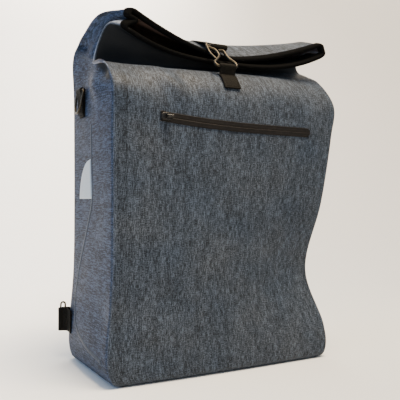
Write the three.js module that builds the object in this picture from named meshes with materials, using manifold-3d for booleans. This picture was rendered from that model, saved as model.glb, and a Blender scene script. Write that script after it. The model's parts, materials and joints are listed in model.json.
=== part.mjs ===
// A roll-top messenger backpack that stands on its own base, in millimetres.
// X runs to the right of the front panel, Y towards the wearer's back and Z up.
// The origin is the middle of the base, on the surface that the bag stands on.
import * as THREE from "three";
import { mergeVertices } from "three/addons/utils/BufferGeometryUtils.js";
import Module from "manifold-3d";

const wasm = await Module();
wasm.setup();

// Driving dimensions of the bag
const bagWidth = 320;
const bagDepth = 160;
const bagHeight = 450;
const shellWall = 2;
const frontEdgeRadius = 5;
const backEdgeRadius = 9;
const seatGap = 0.3;
const curveGap = 0.15;
const cornerReach = 0.3;
const dentFade = 6;

// Binding tape round the mouth
const bindingThickness = 0.9;
const bindingWidth = 6;
const bindingPlay = 0.65;

// Zip of the front pocket
const zipLength = 216;
const zipHeight = 302.5;
const zipCentre = 11;
const zipRise = 9;
const tapeWidth = 12;
const tapeThickness = 1;
const teethWidth = 4.6;
const teethThickness = 0.8;
const sliderLength = 13;
const sliderWidth = 9;
const sliderThickness = 2.4;
const pullLength = 25;
const pullWidth = 7;
const pullThickness = 1.8;
const pullEyeLength = 5;
const pullCorner = 2;
const slotWidth = 2.5;
const slotLength = 10.5;
const slotDrop = 3;
const pivotRadius = 1.1;
const pivotPlay = 0.35;
const pivotWall = 1;
const pivotOffset = 3;
const lugWidth = 1.2;
const sliderCorner = 2.5;
const teethMargin = 2;

// Webbing, the hook and the loop that it holds
const webbing = 1.6;
const strapWidth = 24;
const catchWidth = 23;
const closureCentre = 3;
const hookWire = 3.6;
const hookWidth = 29;
const barPlay = 0.5;
// The hook's two bars and the loop's seam, as shares of the depth behind the front and of the height
const strapBarAt = { behind: 0.2375, up: 0.91556 };
const catchBarAt = { behind: 0.09375, up: 0.84889 };
const catchSeam = { foot: 0.78222, top: 0.82222 };
// The strap's run over the bag, in degrees about a point inside it, and its fold round the bar
const strapCentre = { behind: 0.75, up: 0.84 };
const strapRun = { from: -12, to: 128 };
const strapFold = { from: 112, to: 292 };
const strapEnd = { back: 13.4, up: 5.3 };

// Rings and their tabs on the sides. The upper hinge is at a share of the height.
const upperRing = { width: 27, reach: 29, wire: 2.8, y: 30, tabWidth: 20, tabLength: 34 };
const upperRingAt = 0.78444;
const ringLean = 9;
const upperTabFree = 4;
const lowerEye = { width: 8.4, height: 38, wire: 2, foot: 38.5, out: 5.25, behind: 3.05 };
const lowerTab = { height: 31, foot: 37, reach: 10.5, sewn: 18 };

// Reflective patches and side seams
const patchWidth = 51;
const patchHeight = 49;
const patchBottom = 215;
const patchFront = -2;
const patchThickness = 1;
const patchTip = 3;
const seamWidth = 3;
const seamThickness = 1;

// Shoulder straps on the back
const padTop = 384;
const padFoot = 140;
const padWidth = 58;
const padThickness = 9;
const padSpread = 52;
const padBow = 14;
const padTaper = 0.4;
const padEdge = 0.55;
const tailWidth = 22;
const tailSpread = 30;
const tailFoot = 46;
const tailJoint = 1;

const halfWidth = bagWidth / 2;
const frontPlane = -bagDepth / 2;

function table(columns, rows) {
  return rows.map((row) => Object.fromEntries(columns.map((name, index) => [name, row[index]])));
}

// Sections from the base up to the rim of the folded mouth. X is a share of half the width, Y a
// share of the depth behind the front plane, Z a share of the height. A tuck is how far the gusset
// goes inwards, as a share of the depth.
const LEFT_EDGE = table(
  ["section", "frontX", "frontY", "frontZ", "backX", "backY", "backZ", "tuck"],
  [
    ["foot", -0.955, 0.045, 0, -0.95, 0.955, 0, 0],
    ["turn", -0.995, 0.01, 0.01, -0.99, 0.99, 0.01, 0],
    ["base", -1.012, -0.006, 0.04, -1.01, 1.005, 0.04, -0.01],
    ["low", -1.005, -0.003, 0.1, -1.01, 1.01, 0.1, -0.015],
    ["waist", -0.97, 0.0, 0.26, -0.975, 1.01, 0.26, -0.01],
    ["middle", -0.963, 0.0, 0.467, -0.968, 1.01, 0.467, 0],
    ["upper", -0.963, 0.0, 0.667, -0.968, 1.01, 0.667, -0.01],
    ["shoulder", -0.963, 0.005, 0.769, -0.972, 1.01, 0.782, 0.0],
    ["lean", -0.967, 0.2, 0.834, -0.985, 1.01, 0.89, 0.03],
    ["valley", -0.96, 0.49, 0.858, -0.965, 0.995, 0.935, 0.05],
    ["rise", -0.945, 0.42, 0.913, -0.945, 0.86, 0.964, 0.07],
    ["crest", -0.905, 0.35, 0.956, -0.91, 0.56, 1.0, 0.08],
    ["lip", -0.845, 0.29, 0.952, -0.8, 0.35, 0.999, 0.05],
    ["rim", -0.8, 0.26, 0.944, -0.725, 0.27, 0.998, 0.02],
  ],
);
const RIGHT_EDGE = table(
  ["section", "frontX", "frontY", "frontZ", "backX", "backY", "backZ", "tuck"],
  [
    ["foot", 0.885, 0.06, 0, 0.89, 0.955, 0, 0],
    ["turn", 0.93, 0.025, 0.01, 0.93, 0.99, 0.01, 0],
    ["base", 0.955, 0.015, 0.04, 0.955, 1.005, 0.04, -0.01],
    ["low", 0.945, 0.035, 0.1, 0.96, 1.01, 0.1, -0.01],
    ["waist", 0.838, 0.144, 0.26, 0.935, 1.01, 0.26, 0.0],
    ["middle", 0.915, 0.03, 0.467, 0.955, 1.01, 0.467, 0],
    ["upper", 1.0, 0.0, 0.667, 0.98, 1.01, 0.667, 0.0],
    ["shoulder", 1.03, 0.0, 0.756, 0.985, 1.01, 0.782, 0.0],
    ["lean", 1.0, 0.15, 0.834, 0.98, 1.01, 0.89, 0.03],
    ["valley", 0.94, 0.38, 0.884, 0.965, 0.985, 0.93, 0.05],
    ["rise", 0.915, 0.375, 0.906, 0.955, 0.84, 0.958, 0.07],
    ["crest", 0.94, 0.25, 0.932, 0.95, 0.45, 0.986, 0.07],
    ["lip", 0.965, 0.115, 0.926, 0.94, 0.14, 0.961, 0.03],
    ["rim", 0.975, 0.055, 0.917, 0.94, 0.055, 0.95, 0.01],
  ],
);

// The middle of the front and back walls. Spread shapes how a wall runs from its middle out to its
// two edges: 2 is a plain bow, and less draws it to a point. Rows are those up to the next section.
const MIDDLE = table(
  ["section", "frontY", "frontZ", "backY", "backZ", "spread", "rows"],
  [
    ["foot", 0.04, 0, 0.965, 0, 2.4, 1],
    ["turn", -0.002, 0.01, 1.0, 0.01, 2.4, 2],
    ["base", -0.018, 0.04, 1.02, 0.04, 2.4, 1],
    ["low", -0.025, 0.1, 1.03, 0.1, 2.4, 2],
    ["waist", -0.03, 0.267, 1.035, 0.267, 2.2, 2],
    ["middle", -0.035, 0.467, 1.035, 0.467, 2.2, 2],
    ["upper", -0.03, 0.667, 1.03, 0.667, 2.2, 2],
    ["shoulder", -0.005, 0.769, 1.02, 0.778, 2, 3],
    ["lean", 0.125, 0.829, 0.99, 0.878, 2, 3],
    ["valley", 0.31, 0.853, 0.94, 0.928, 2, 3],
    ["rise", 0.3, 0.872, 0.79, 0.948, 1.8, 3],
    ["crest", 0.262, 0.8745, 0.56, 0.955, 1.7, 2],
    ["lip", 0.23, 0.869, 0.268, 0.896, 1.6, 1],
    ["rim", 0.185, 0.861, 0.206, 0.883, 1.6, 0],
  ],
);

// Dents in the walls. Across is a share of half the width on the front and of the depth on a side,
// up a share of the height. Length, breadth and depth are shares of the depth, tilt is in degrees.
const DENTS = table(
  ["wall", "across", "up", "length", "breadth", "tilt", "depth"],
  [
    ["front", -0.74, 0.8, 0.24, 0.09, -38, 0.035],
    ["front", -0.93, 0.185, 0.3, 0.12, 8, 0.03],
    ["front", 0.62, 0.27, 0.4, 0.5, 0, 0.035],
    ["left", 0.2, 0.175, 0.4, 0.12, -6, 0.025],
    ["left", 0.17, 0.83, 0.1, 0.12, 40, 0.05],
    ["right", 0.3, 0.27, 0.5, 0.4, 0, 0.03],
  ],
);
const INWARDS = {
  front: new THREE.Vector3(0, 1, 0),
  right: new THREE.Vector3(-1, 0, 0),
  back: new THREE.Vector3(0, -1, 0),
  left: new THREE.Vector3(1, 0, 0),
};
// The front edges turn as soft as the back ones between these two sections, the crest and the lip
const softMouth = [10, 12];
const WALL_SEGMENTS = { front: 14, right: 7, back: 10, left: 7 };
const CORNER_SEGMENTS = 2;

function place(x, y, z) {
  return new THREE.Vector3(x * halfWidth, frontPlane + y * bagDepth, z * bagHeight);
}

const closureX = closureCentre / halfWidth;
const strapBar = place(closureX, strapBarAt.behind, strapBarAt.up);
const catchBar = place(closureX, catchBarAt.behind, catchBarAt.up);
const upperRingZ = upperRingAt * bagHeight;

// A curve through one point of every section
function guide(pointOf) {
  return new THREE.CatmullRomCurve3(MIDDLE.map((row, index) => pointOf(row, index)));
}

function gussetMiddle(edge, inwards) {
  const front = place(edge.frontX, edge.frontY, edge.frontZ);
  const back = place(edge.backX, edge.backY, edge.backZ);
  return front.add(back).multiplyScalar(0.5).addScaledVector(inwards, edge.tuck * bagDepth);
}

const GUIDES = {
  frontLeft: guide((row, i) => place(LEFT_EDGE[i].frontX, LEFT_EDGE[i].frontY, LEFT_EDGE[i].frontZ)),
  frontRight: guide((row, i) => place(RIGHT_EDGE[i].frontX, RIGHT_EDGE[i].frontY, RIGHT_EDGE[i].frontZ)),
  backLeft: guide((row, i) => place(LEFT_EDGE[i].backX, LEFT_EDGE[i].backY, LEFT_EDGE[i].backZ)),
  backRight: guide((row, i) => place(RIGHT_EDGE[i].backX, RIGHT_EDGE[i].backY, RIGHT_EDGE[i].backZ)),
  front: guide((row, i) => place((LEFT_EDGE[i].frontX + RIGHT_EDGE[i].frontX) / 2, row.frontY, row.frontZ)),
  back: guide((row, i) => place((LEFT_EDGE[i].backX + RIGHT_EDGE[i].backX) / 2, row.backY, row.backZ)),
  left: guide((row, i) => gussetMiddle(LEFT_EDGE[i], INWARDS.left)),
  right: guide((row, i) => gussetMiddle(RIGHT_EDGE[i], INWARDS.right)),
};

// How far along the sections each row of the loft lies
function rowPositions() {
  const last = MIDDLE.length - 1;
  const positions = [];
  MIDDLE.forEach((row, index) => {
    for (let step = 0; step < row.rows; step++) positions.push((index + step / row.rows) / last);
  });
  positions.push(1);
  return positions;
}

function spreadAt(position) {
  const along = position * (MIDDLE.length - 1);
  const index = Math.min(Math.floor(along), MIDDLE.length - 2);
  return THREE.MathUtils.lerp(MIDDLE[index].spread, MIDDLE[index + 1].spread, along - index);
}

function dentAt(wall, share, point) {
  const inset = new THREE.Vector3();
  for (const dent of DENTS.filter((entry) => entry.wall === wall)) {
    const across = wall === "front"
      ? point.x - dent.across * halfWidth
      : point.y - frontPlane - dent.across * bagDepth;
    const up = point.z - dent.up * bagHeight;
    const tilt = THREE.MathUtils.degToRad(dent.tilt);
    const along = (across * Math.cos(tilt) + up * Math.sin(tilt)) / (dent.length * bagDepth);
    const beside = (up * Math.cos(tilt) - across * Math.sin(tilt)) / (dent.breadth * bagDepth);
    const fade = 1 - Math.abs(2 * share - 1) ** dentFade;
    const depth = dent.depth * bagDepth * fade * Math.exp(-along * along - beside * beside);
    inset.addScaledVector(INWARDS[wall], depth);
  }
  return inset;
}

// One wall of a section, from just past one corner to just before the next
function wallPoints(wall, from, middle, to, spread, radii) {
  const length = from.distanceTo(to);
  const start = Math.min(radii[0] / length, cornerReach);
  const end = 1 - Math.min(radii[1] / length, cornerReach);
  const bow = middle.clone().sub(from.clone().add(to).multiplyScalar(0.5));
  const points = [];
  for (let step = 0; step <= WALL_SEGMENTS[wall]; step++) {
    const share = THREE.MathUtils.lerp(start, end, step / WALL_SEGMENTS[wall]);
    const point = from.clone().lerp(to, share);
    point.addScaledVector(bow, 1 - Math.abs(2 * share - 1) ** spread);
    points.push(point.add(dentAt(wall, share, point)));
  }
  return points;
}

// The closed loop round the bag at one position along the sections
function sectionLoop(position) {
  const at = {};
  for (const [name, curve] of Object.entries(GUIDES)) at[name] = curve.getPoint(position);
  const spread = spreadAt(position);
  const mouth = THREE.MathUtils.smoothstep(position * (MIDDLE.length - 1), ...softMouth);
  const crisp = THREE.MathUtils.lerp(frontEdgeRadius, backEdgeRadius, mouth);
  const soft = backEdgeRadius;
  const walls = [
    wallPoints("front", at.frontLeft, at.front, at.frontRight, spread, [crisp, crisp]),
    wallPoints("right", at.frontRight, at.right, at.backRight, 2, [crisp, soft]),
    wallPoints("back", at.backRight, at.back, at.backLeft, spread, [soft, soft]),
    wallPoints("left", at.backLeft, at.left, at.frontLeft, 2, [soft, crisp]),
  ];
  const corners = [at.frontRight, at.backRight, at.backLeft, at.frontLeft];
  return walls.flatMap((points, index) => {
    const next = walls[(index + 1) % walls.length];
    const turn = new THREE.QuadraticBezierCurve3(points[points.length - 1], corners[index], next[0]);
    return [...points, ...turn.getPoints(CORNER_SEGMENTS).slice(1, -1)];
  });
}

function meshGeometry(points, faces) {
  const geometry = new THREE.BufferGeometry();
  const numbers = points.flatMap((point) => point.toArray());
  geometry.setAttribute("position", new THREE.Float32BufferAttribute(numbers, 3));
  geometry.setIndex(faces.flat());
  geometry.computeVertexNormals();
  return geometry;
}

// Faces between two rings of the same count, whose first points have these indices
function bridge(lower, upper, count) {
  const faces = [];
  for (let j = 0; j < count; j++) {
    const k = (j + 1) % count;
    faces.push([lower + j, lower + k, upper + k], [lower + j, upper + k, upper + j]);
  }
  return faces;
}

function fan(centre, ring, count, flip) {
  const faces = [];
  for (let j = 0; j < count; j++) {
    const k = (j + 1) % count;
    faces.push(flip ? [centre, ring + k, ring + j] : [centre, ring + j, ring + k]);
  }
  return faces;
}

// Faces from each ring to the next, and from the last to the first when closed
function spans(rings, closed) {
  const count = rings[0].length;
  const last = closed ? rings.length : rings.length - 1;
  const faces = [];
  for (let i = 0; i < last; i++) {
    faces.push(...bridge(i * count, ((i + 1) % rings.length) * count, count));
  }
  return faces;
}

// A body through rings of points, closed on itself or capped at its two ends
function loft(rings, closed) {
  const count = rings[0].length;
  const points = rings.flat();
  const faces = spans(rings, closed);
  if (!closed) {
    for (const [index, flip] of [[0, true], [rings.length - 1, false]]) {
      const middle = rings[index].reduce((sum, p) => sum.add(p), new THREE.Vector3()).divideScalar(count);
      points.push(middle);
      faces.push(...fan(points.length - 1, index * count, count, flip));
    }
  }
  return meshGeometry(points, faces);
}

// The outer skin and, inside it, the same skin moved in by the wall
const OUTER_RINGS = rowPositions().map(sectionLoop);
const COLUMNS = OUTER_RINGS[0].length;

// The direction that each point of the rings faces
function normalsOf(rings) {
  const normals = meshGeometry(rings.flat(), spans(rings, false)).getAttribute("normal");
  return rings.map((ring, i) => ring.map((point, j) => (
    new THREE.Vector3().fromBufferAttribute(normals, i * COLUMNS + j)
  )));
}

function innerRings() {
  const normals = normalsOf(OUTER_RINGS);
  for (const normal of normals[0]) normal.z = -1;
  return OUTER_RINGS.map((ring, i) => ring.map((point, j) => (
    point.clone().addScaledVector(normals[i][j], -shellWall)
  )));
}

const INNER_RINGS = innerRings();

function bagShell() {
  const rows = OUTER_RINGS.length;
  const inside = rows * COLUMNS;
  const points = [...OUTER_RINGS.flat(), ...INNER_RINGS.flat()];
  const faces = [];
  for (let i = 0; i < rows - 1; i++) {
    faces.push(...bridge(i * COLUMNS, (i + 1) * COLUMNS, COLUMNS));
    faces.push(...bridge(inside + (i + 1) * COLUMNS, inside + i * COLUMNS, COLUMNS));
  }
  faces.push(...bridge((rows - 1) * COLUMNS, inside + (rows - 1) * COLUMNS, COLUMNS));
  points.push(new THREE.Vector3(0, 0, 0), new THREE.Vector3(0, 0, shellWall));
  faces.push(...fan(points.length - 2, 0, COLUMNS, true));
  faces.push(...fan(points.length - 1, inside, COLUMNS, false));
  return meshGeometry(points, faces);
}

// The binding goes down inside the mouth along its two long walls, short of the corners
const backStart = WALL_SEGMENTS.front + WALL_SEGMENTS.right + 2 * CORNER_SEGMENTS;
const hasInsideLeg = (j) => (
  (j > 0 && j < WALL_SEGMENTS.front) || (j > backStart && j < backStart + WALL_SEGMENTS.back)
);

// A channel of tape over the rim, with play to the cloth on both sides. The faces next to the cloth
// are split along the same diagonals as the cloth's own.
function mouthBinding() {
  const last = OUTER_RINGS.length - 1;
  const near = bindingPlay;
  const far = near + bindingThickness;
  const outerNormals = normalsOf(OUTER_RINGS);
  const innerNormals = normalsOf(INNER_RINGS);
  const rings = OUTER_RINGS[last].map((unused, j) => {
    const rim = OUTER_RINGS[last];
    const run = rim[(j + 1) % COLUMNS].clone().sub(rim[(j + COLUMNS - 1) % COLUMNS]).normalize();
    const up = rim[j].clone().sub(OUTER_RINGS[last - 1][j]);
    up.addScaledVector(run, -up.dot(run)).normalize();
    const legs = (skin, normals, heights, full) => heights.map((height, k) => {
      const [foot, edge] = [last - 1, last].map((i) => (
        skin[i][j].clone().addScaledVector(normals[i][j], height)
      ));
      const top = edge.clone().addScaledVector(up, [near, far][k]);
      if (full) return [edge.lerp(foot, bindingWidth / edge.distanceTo(foot)), top];
      return [edge.addScaledVector(up, near / 2), top];
    });
    const full = hasInsideLeg(j);
    const clear = full || hasInsideLeg(j - 1) || hasInsideLeg(j + 1);
    const outer = legs(OUTER_RINGS, outerNormals, [near, far], true);
    const inner = legs(INNER_RINGS, innerNormals, clear ? [-near, -far] : [0, -near], full);
    return [...outer[0], ...inner[0].reverse(), ...inner[1], ...outer[1].reverse()];
  });
  return outwards(loft(rings, true));
}

const shellGeometry = bagShell();
const SHELL = new THREE.Mesh(shellGeometry, new THREE.MeshBasicMaterial({ side: THREE.DoubleSide }));
const caster = new THREE.Raycaster();

// Where a straight line from outside first meets the bag's skin
function seat(from, towards) {
  caster.set(from, towards.clone().normalize());
  const hit = caster.intersectObject(SHELL)[0];
  const normal = hit.face.normal.clone();
  if (normal.dot(towards) > 0) normal.negate();
  return { point: hit.point, normal };
}

const onFront = (x, z) => seat(new THREE.Vector3(x, -2 * bagDepth, z), INWARDS.front);
const onBack = (x, z) => seat(new THREE.Vector3(x, 2 * bagDepth, z), INWARDS.back);
const sideOut = (side) => new THREE.Vector3(side, 0, 0);
const onSide = (side, y, z) => seat(new THREE.Vector3(side * bagWidth, y, z), sideOut(-side));

// A flat piece that lies on the skin, from a grid of seats
function sheet(grid, clearance, thickness) {
  const rings = grid.map((row) => {
    const raise = (spot, height) => spot.point.clone().addScaledVector(spot.normal, height);
    const lower = row.map((spot) => raise(spot, clearance));
    const upper = row.map((spot) => raise(spot, clearance + thickness));
    return [...lower, ...upper.reverse()];
  });
  return outwards(loft(rings, false));
}

function volume(geometry) {
  const position = geometry.getAttribute("position");
  const index = geometry.getIndex();
  const corner = [0, 1, 2].map(() => new THREE.Vector3());
  let sum = 0;
  for (let i = 0; i < index.count; i += 3) {
    corner.forEach((point, k) => point.fromBufferAttribute(position, index.getX(i + k)));
    sum += corner[0].dot(corner[1].cross(corner[2])) / 6;
  }
  return sum;
}

// The same body with its faces pointing out
function outwards(geometry) {
  if (volume(geometry) > 0) return geometry;
  const index = Array.from(geometry.getIndex().array);
  for (let i = 0; i < index.length; i += 3) [index[i], index[i + 1]] = [index[i + 1], index[i]];
  geometry.setIndex(index);
  geometry.computeVertexNormals();
  return geometry;
}

function steps(count, make) {
  return Array.from({ length: count + 1 }, (unused, index) => make(index / count));
}

const tapeStart = zipCentre - zipLength / 2;
const tapeEnd = zipCentre + zipLength / 2;
const tapeZ = (x) => zipHeight + zipRise * ((tapeEnd - x) / zipLength) ** 3;

// The zip's tape has a square left end under the slider and a rounded right end
function zipTape() {
  const half = tapeWidth / 2;
  const flat = steps(16, (s) => [THREE.MathUtils.lerp(tapeStart, tapeEnd - half, s), half]);
  const round = [30, 55, 75].map((degrees) => {
    const angle = THREE.MathUtils.degToRad(degrees);
    return [tapeEnd - half + half * Math.sin(angle), half * Math.cos(angle)];
  });
  return sheet(
    [...flat, ...round].map(([x, reach]) => [-1, 0, 1].map((k) => onFront(x, tapeZ(x) + k * reach))),
    seatGap, tapeThickness,
  );
}

const teethStart = tapeStart + sliderLength + teethMargin;
const teethEnd = tapeEnd - tapeWidth;
const tapeTop = seatGap + tapeThickness;

function zipTeeth() {
  return sheet(
    steps(16, (s) => {
      const x = THREE.MathUtils.lerp(teethStart, teethEnd, s);
      return [-1, 1].map((k) => onFront(x, tapeZ(x) + (k * teethWidth) / 2));
    }),
    tapeTop + seatGap, teethThickness,
  );
}

function roundedBar(length, width, thickness, radius) {
  const shape = new THREE.Shape();
  const x = length / 2;
  const z = width / 2;
  shape.moveTo(-x + radius, -z).lineTo(x - radius, -z);
  shape.absarc(x - radius, -z + radius, radius, -Math.PI / 2, 0);
  shape.lineTo(x, z - radius).absarc(x - radius, z - radius, radius, 0, Math.PI / 2);
  shape.lineTo(-x + radius, z).absarc(-x + radius, z - radius, radius, Math.PI / 2, Math.PI);
  shape.lineTo(-x, -z + radius).absarc(-x + radius, -z + radius, radius, Math.PI, 1.5 * Math.PI);
  return new THREE.ExtrudeGeometry(shape, { depth: thickness, bevelEnabled: false, curveSegments: 3 });
}

// A wire of round section along a path
function wire(points, radius, sides, closed, stepCount) {
  const path = new THREE.CatmullRomCurve3(points, closed, "centripetal");
  const frames = path.computeFrenetFrames(stepCount, closed);
  const count = closed ? stepCount : stepCount + 1;
  const rings = Array.from({ length: count }, (unused, i) => {
    const centre = path.getPointAt(i / stepCount);
    return Array.from({ length: sides }, (none, k) => {
      const angle = (2 * Math.PI * k) / sides;
      return centre.clone()
        .addScaledVector(frames.normals[i], radius * Math.cos(angle))
        .addScaledVector(frames.binormals[i], radius * Math.sin(angle));
    });
  });
  return outwards(loft(rings, closed));
}

// A band of webbing along a path, with its width along one direction
function ribbon(points, across, width, thickness) {
  const rings = points.map((point, i) => {
    const before = points[Math.max(i - 1, 0)];
    const after = points[Math.min(i + 1, points.length - 1)];
    const share = i / (points.length - 1);
    const lift = after.clone().sub(before).cross(across).normalize();
    const half = across.clone().multiplyScalar((typeof width === "function" ? width(share) : width) / 2);
    const rise = (typeof thickness === "function" ? thickness(share) : thickness) / 2;
    return [[-1, -1], [1, -1], [1, 1], [-1, 1]].map(([side, face]) => (
      point.clone().addScaledVector(half, side).addScaledVector(lift, face * rise)
    ));
  });
  return outwards(loft(rings, false));
}

// The same shape as a solid that can be joined and cut
function solid(geometry) {
  const bare = geometry.clone();
  bare.deleteAttribute("normal");
  bare.deleteAttribute("uv");
  const merged = mergeVertices(bare);
  return new wasm.Manifold(new wasm.Mesh({
    numProp: 3,
    vertProperties: merged.getAttribute("position").array,
    triVerts: merged.getIndex().array,
  }));
}

function fromSolid(body) {
  const mesh = body.getMesh();
  const geometry = new THREE.BufferGeometry();
  geometry.setAttribute("position", new THREE.BufferAttribute(mesh.vertProperties, 3));
  geometry.setIndex(Array.from(mesh.triVerts));
  geometry.computeVertexNormals();
  return geometry;
}

function box(width, depth, height, centre) {
  return solid(new THREE.BoxGeometry(width, depth, height).translate(centre.x, centre.y, centre.z));
}

// A round bar along X
function bar(radius, length, centre) {
  const rod = new THREE.CylinderGeometry(radius, radius, length, 16).rotateZ(Math.PI / 2);
  return solid(rod.translate(centre.x, centre.y, centre.z));
}

const sliderX = tapeStart + sliderLength / 2;
const sliderZ = tapeZ(sliderX);
const sliderBack = Math.min(
  ...[-1, 1].flatMap((a) => [-1, 1].map((b) => (
    onFront(sliderX + (a * sliderLength) / 2, sliderZ + (b * sliderWidth) / 2).point.y
  ))),
) - tapeTop - seatGap;
const eyeRadius = pivotRadius + pivotPlay + pivotWall;
const pivotY = sliderBack - sliderThickness - eyeRadius - seatGap;
const pivot = new THREE.Vector3(sliderX + pivotOffset, pivotY, sliderZ);

// The slider carries the pull on a pin between two lugs
function zipSlider() {
  const plate = roundedBar(sliderLength, sliderWidth, sliderThickness, sliderCorner).rotateX(Math.PI / 2);
  let body = solid(plate.translate(sliderX, sliderBack, sliderZ));
  const offset = pullEyeLength / 2 + pivotPlay + lugWidth / 2;
  const lugDepth = sliderBack - pivot.y - sliderThickness / 2;
  const lugY = sliderBack - sliderThickness / 2 - lugDepth / 2;
  for (const side of [-1, 1]) {
    const centre = new THREE.Vector3(pivot.x + side * offset, lugY, sliderZ);
    body = body.add(box(lugWidth, lugDepth, 2 * eyeRadius, centre));
    body = body.add(bar(eyeRadius, lugWidth, centre.setY(pivot.y)));
  }
  return fromSolid(body.add(bar(pivotRadius, 2 * offset, pivot)));
}

// A flat tongue with an eye round the slider's pin and a slot through its foot
function zipPull() {
  const tongue = roundedBar(pullWidth, pullLength, pullThickness, pullCorner).rotateX(Math.PI / 2);
  const drop = pivot.z - (pullLength + eyeRadius) / 2;
  let body = solid(tongue.translate(pivot.x, pivot.y + pullThickness / 2, drop));
  const slotCentre = new THREE.Vector3(pivot.x, pivot.y, drop - slotDrop);
  body = body.subtract(box(slotWidth, 2 * pullThickness, slotLength, slotCentre));
  const shoulder = pivot.clone().add(new THREE.Vector3(0, 0, eyeRadius / 2 - pivotPlay));
  body = body.subtract(box(2 * pullWidth, 2 * pullThickness, 3 * eyeRadius, shoulder));
  const neck = pivot.clone().add(new THREE.Vector3(0, 0, -eyeRadius));
  body = body.add(box(pullEyeLength, pullThickness, 2 * eyeRadius, neck));
  body = body.add(bar(eyeRadius, pullEyeLength, pivot));
  return fromSolid(body.subtract(bar(pivotRadius + pivotPlay, 2 * pullEyeLength, pivot)));
}

// Points round a bar along X, from one angle to another seen along X, in degrees from +Y towards +Z
function turnRound(centre, radius, from, to, count) {
  return steps(count, (s) => {
    const angle = THREE.MathUtils.degToRad(THREE.MathUtils.lerp(from, to, s));
    const turned = new THREE.Vector3(0, radius * Math.cos(angle), radius * Math.sin(angle));
    return turned.add(centre);
  });
}

const alongX = new THREE.Vector3(1, 0, 0);
const alongY = new THREE.Vector3(0, 1, 0);
const alongZ = new THREE.Vector3(0, 0, 1);
const skinClearance = seatGap + curveGap;
const webbingSeat = skinClearance + webbing / 2;
const raised = (spot, height) => spot.point.clone().addScaledVector(spot.normal, height);

// The middle of a flat band that clears the skin over its whole width, which runs along X
function bandSeat(seatAt, x, width, out, height = webbingSeat) {
  const spots = [-0.5, -0.25, 0, 0.25, 0.5].map((k) => seatAt(x + k * width));
  const top = Math.max(...spots.map((spot) => spot.point.dot(out)));
  const middle = spots[2];
  const lift = top - middle.point.dot(out);
  return raised(middle, height).addScaledVector(out, lift);
}

// The strap lies on the back wall, goes over the ridge and folds round the hook's upper bar
function closureStrap() {
  const heart = place(closureX, strapCentre.behind, strapCentre.up);
  const over = steps(28, (s) => {
    const angle = THREE.MathUtils.degToRad(THREE.MathUtils.lerp(strapRun.from, strapRun.to, s));
    const out = new THREE.Vector3(0, Math.cos(angle), Math.sin(angle));
    const start = heart.clone().addScaledVector(out, bagDepth);
    const seatAt = (x) => seat(start.clone().setX(x), out.clone().negate());
    return bandSeat(seatAt, closureCentre, strapWidth, out);
  });
  const foldRadius = hookWire / 2 + barPlay + webbing / 2;
  const fold = turnRound(strapBar, foldRadius, strapFold.from, strapFold.to, 8);
  const end = fold[fold.length - 1].clone().add(new THREE.Vector3(0, strapEnd.back, strapEnd.up));
  return ribbon([...over, ...fold, end], alongX, strapWidth, webbing);
}

// The loop is sewn to the front wall and folds round the hook's lower bar
function catchTab() {
  const sewn = steps(4, (s) => {
    const z = THREE.MathUtils.lerp(catchSeam.foot, catchSeam.top, s) * bagHeight;
    return bandSeat((x) => onFront(x, z), closureCentre, catchWidth, INWARDS.back);
  });
  const foldRadius = hookWire / 2 + barPlay + webbing / 2;
  const fold = turnRound(catchBar, foldRadius, 180, 0, 8);
  const end = fold[fold.length - 1].clone().add(new THREE.Vector3(0, 0, -2 * foldRadius));
  return ribbon([...sewn, ...fold, end], alongX, catchWidth, webbing);
}

// A wire hook: across is a share of half its width, down a share of the way between its two bars
const HOOK = table(
  ["across", "down"],
  [
    [-1, 0], [-0.5, 0], [0, 0], [0.5, 0], [0.92, 0.01], [1.08, 0.14], [1.1, 0.5], [1.08, 0.86], [0.92, 0.99],
    [0.5, 1], [0, 1], [-0.5, 1], [-0.88, 0.99], [-0.98, 0.86], [-0.72, 0.64], [-0.5, 0.44], [-0.56, 0.26],
    [-0.85, 0.19],
  ],
);

function strapHook() {
  const down = catchBar.clone().sub(strapBar);
  const points = HOOK.map((row) => (
    strapBar.clone().addScaledVector(down, row.down).addScaledVector(alongX, (row.across * hookWidth) / 2)
  ));
  return wire(points, hookWire / 2, 8, false, 44);
}

// A ring with one straight side: across is a share of half its width, out a share of its reach
const RING = table(
  ["across", "out"],
  [
    [-0.8, 0], [0, 0], [0.8, 0], [1, 0.1], [1, 0.4], [0.84, 0.75], [0.45, 0.96], [0, 1],
    [-0.45, 0.96], [-0.84, 0.75], [-1, 0.4], [-1, 0.1],
  ],
);

function ring(size, hinge, across, out) {
  const points = RING.map((row) => (
    hinge.clone()
      .addScaledVector(across, (row.across * size.width) / 2)
      .addScaledVector(out, row.out * size.reach)
  ));
  return wire(points, size.wire / 2, 6, true, 28);
}

const foldOf = (size) => size.wire / 2 + barPlay + webbing / 2;

function tabSeat(side, z) {
  return bandSeat((y) => onSide(side, y, z), upperRing.y, upperRing.tabWidth, sideOut(side));
}

function upperHinge(side) {
  return tabSeat(side, upperRingZ).addScaledVector(sideOut(side), foldOf(upperRing)).setZ(upperRingZ);
}

function upperRingBody(side) {
  const lean = THREE.MathUtils.degToRad(ringLean);
  const out = new THREE.Vector3(side * Math.sin(lean), 0, -Math.cos(lean));
  return ring(upperRing, upperHinge(side), alongY, out);
}

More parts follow.
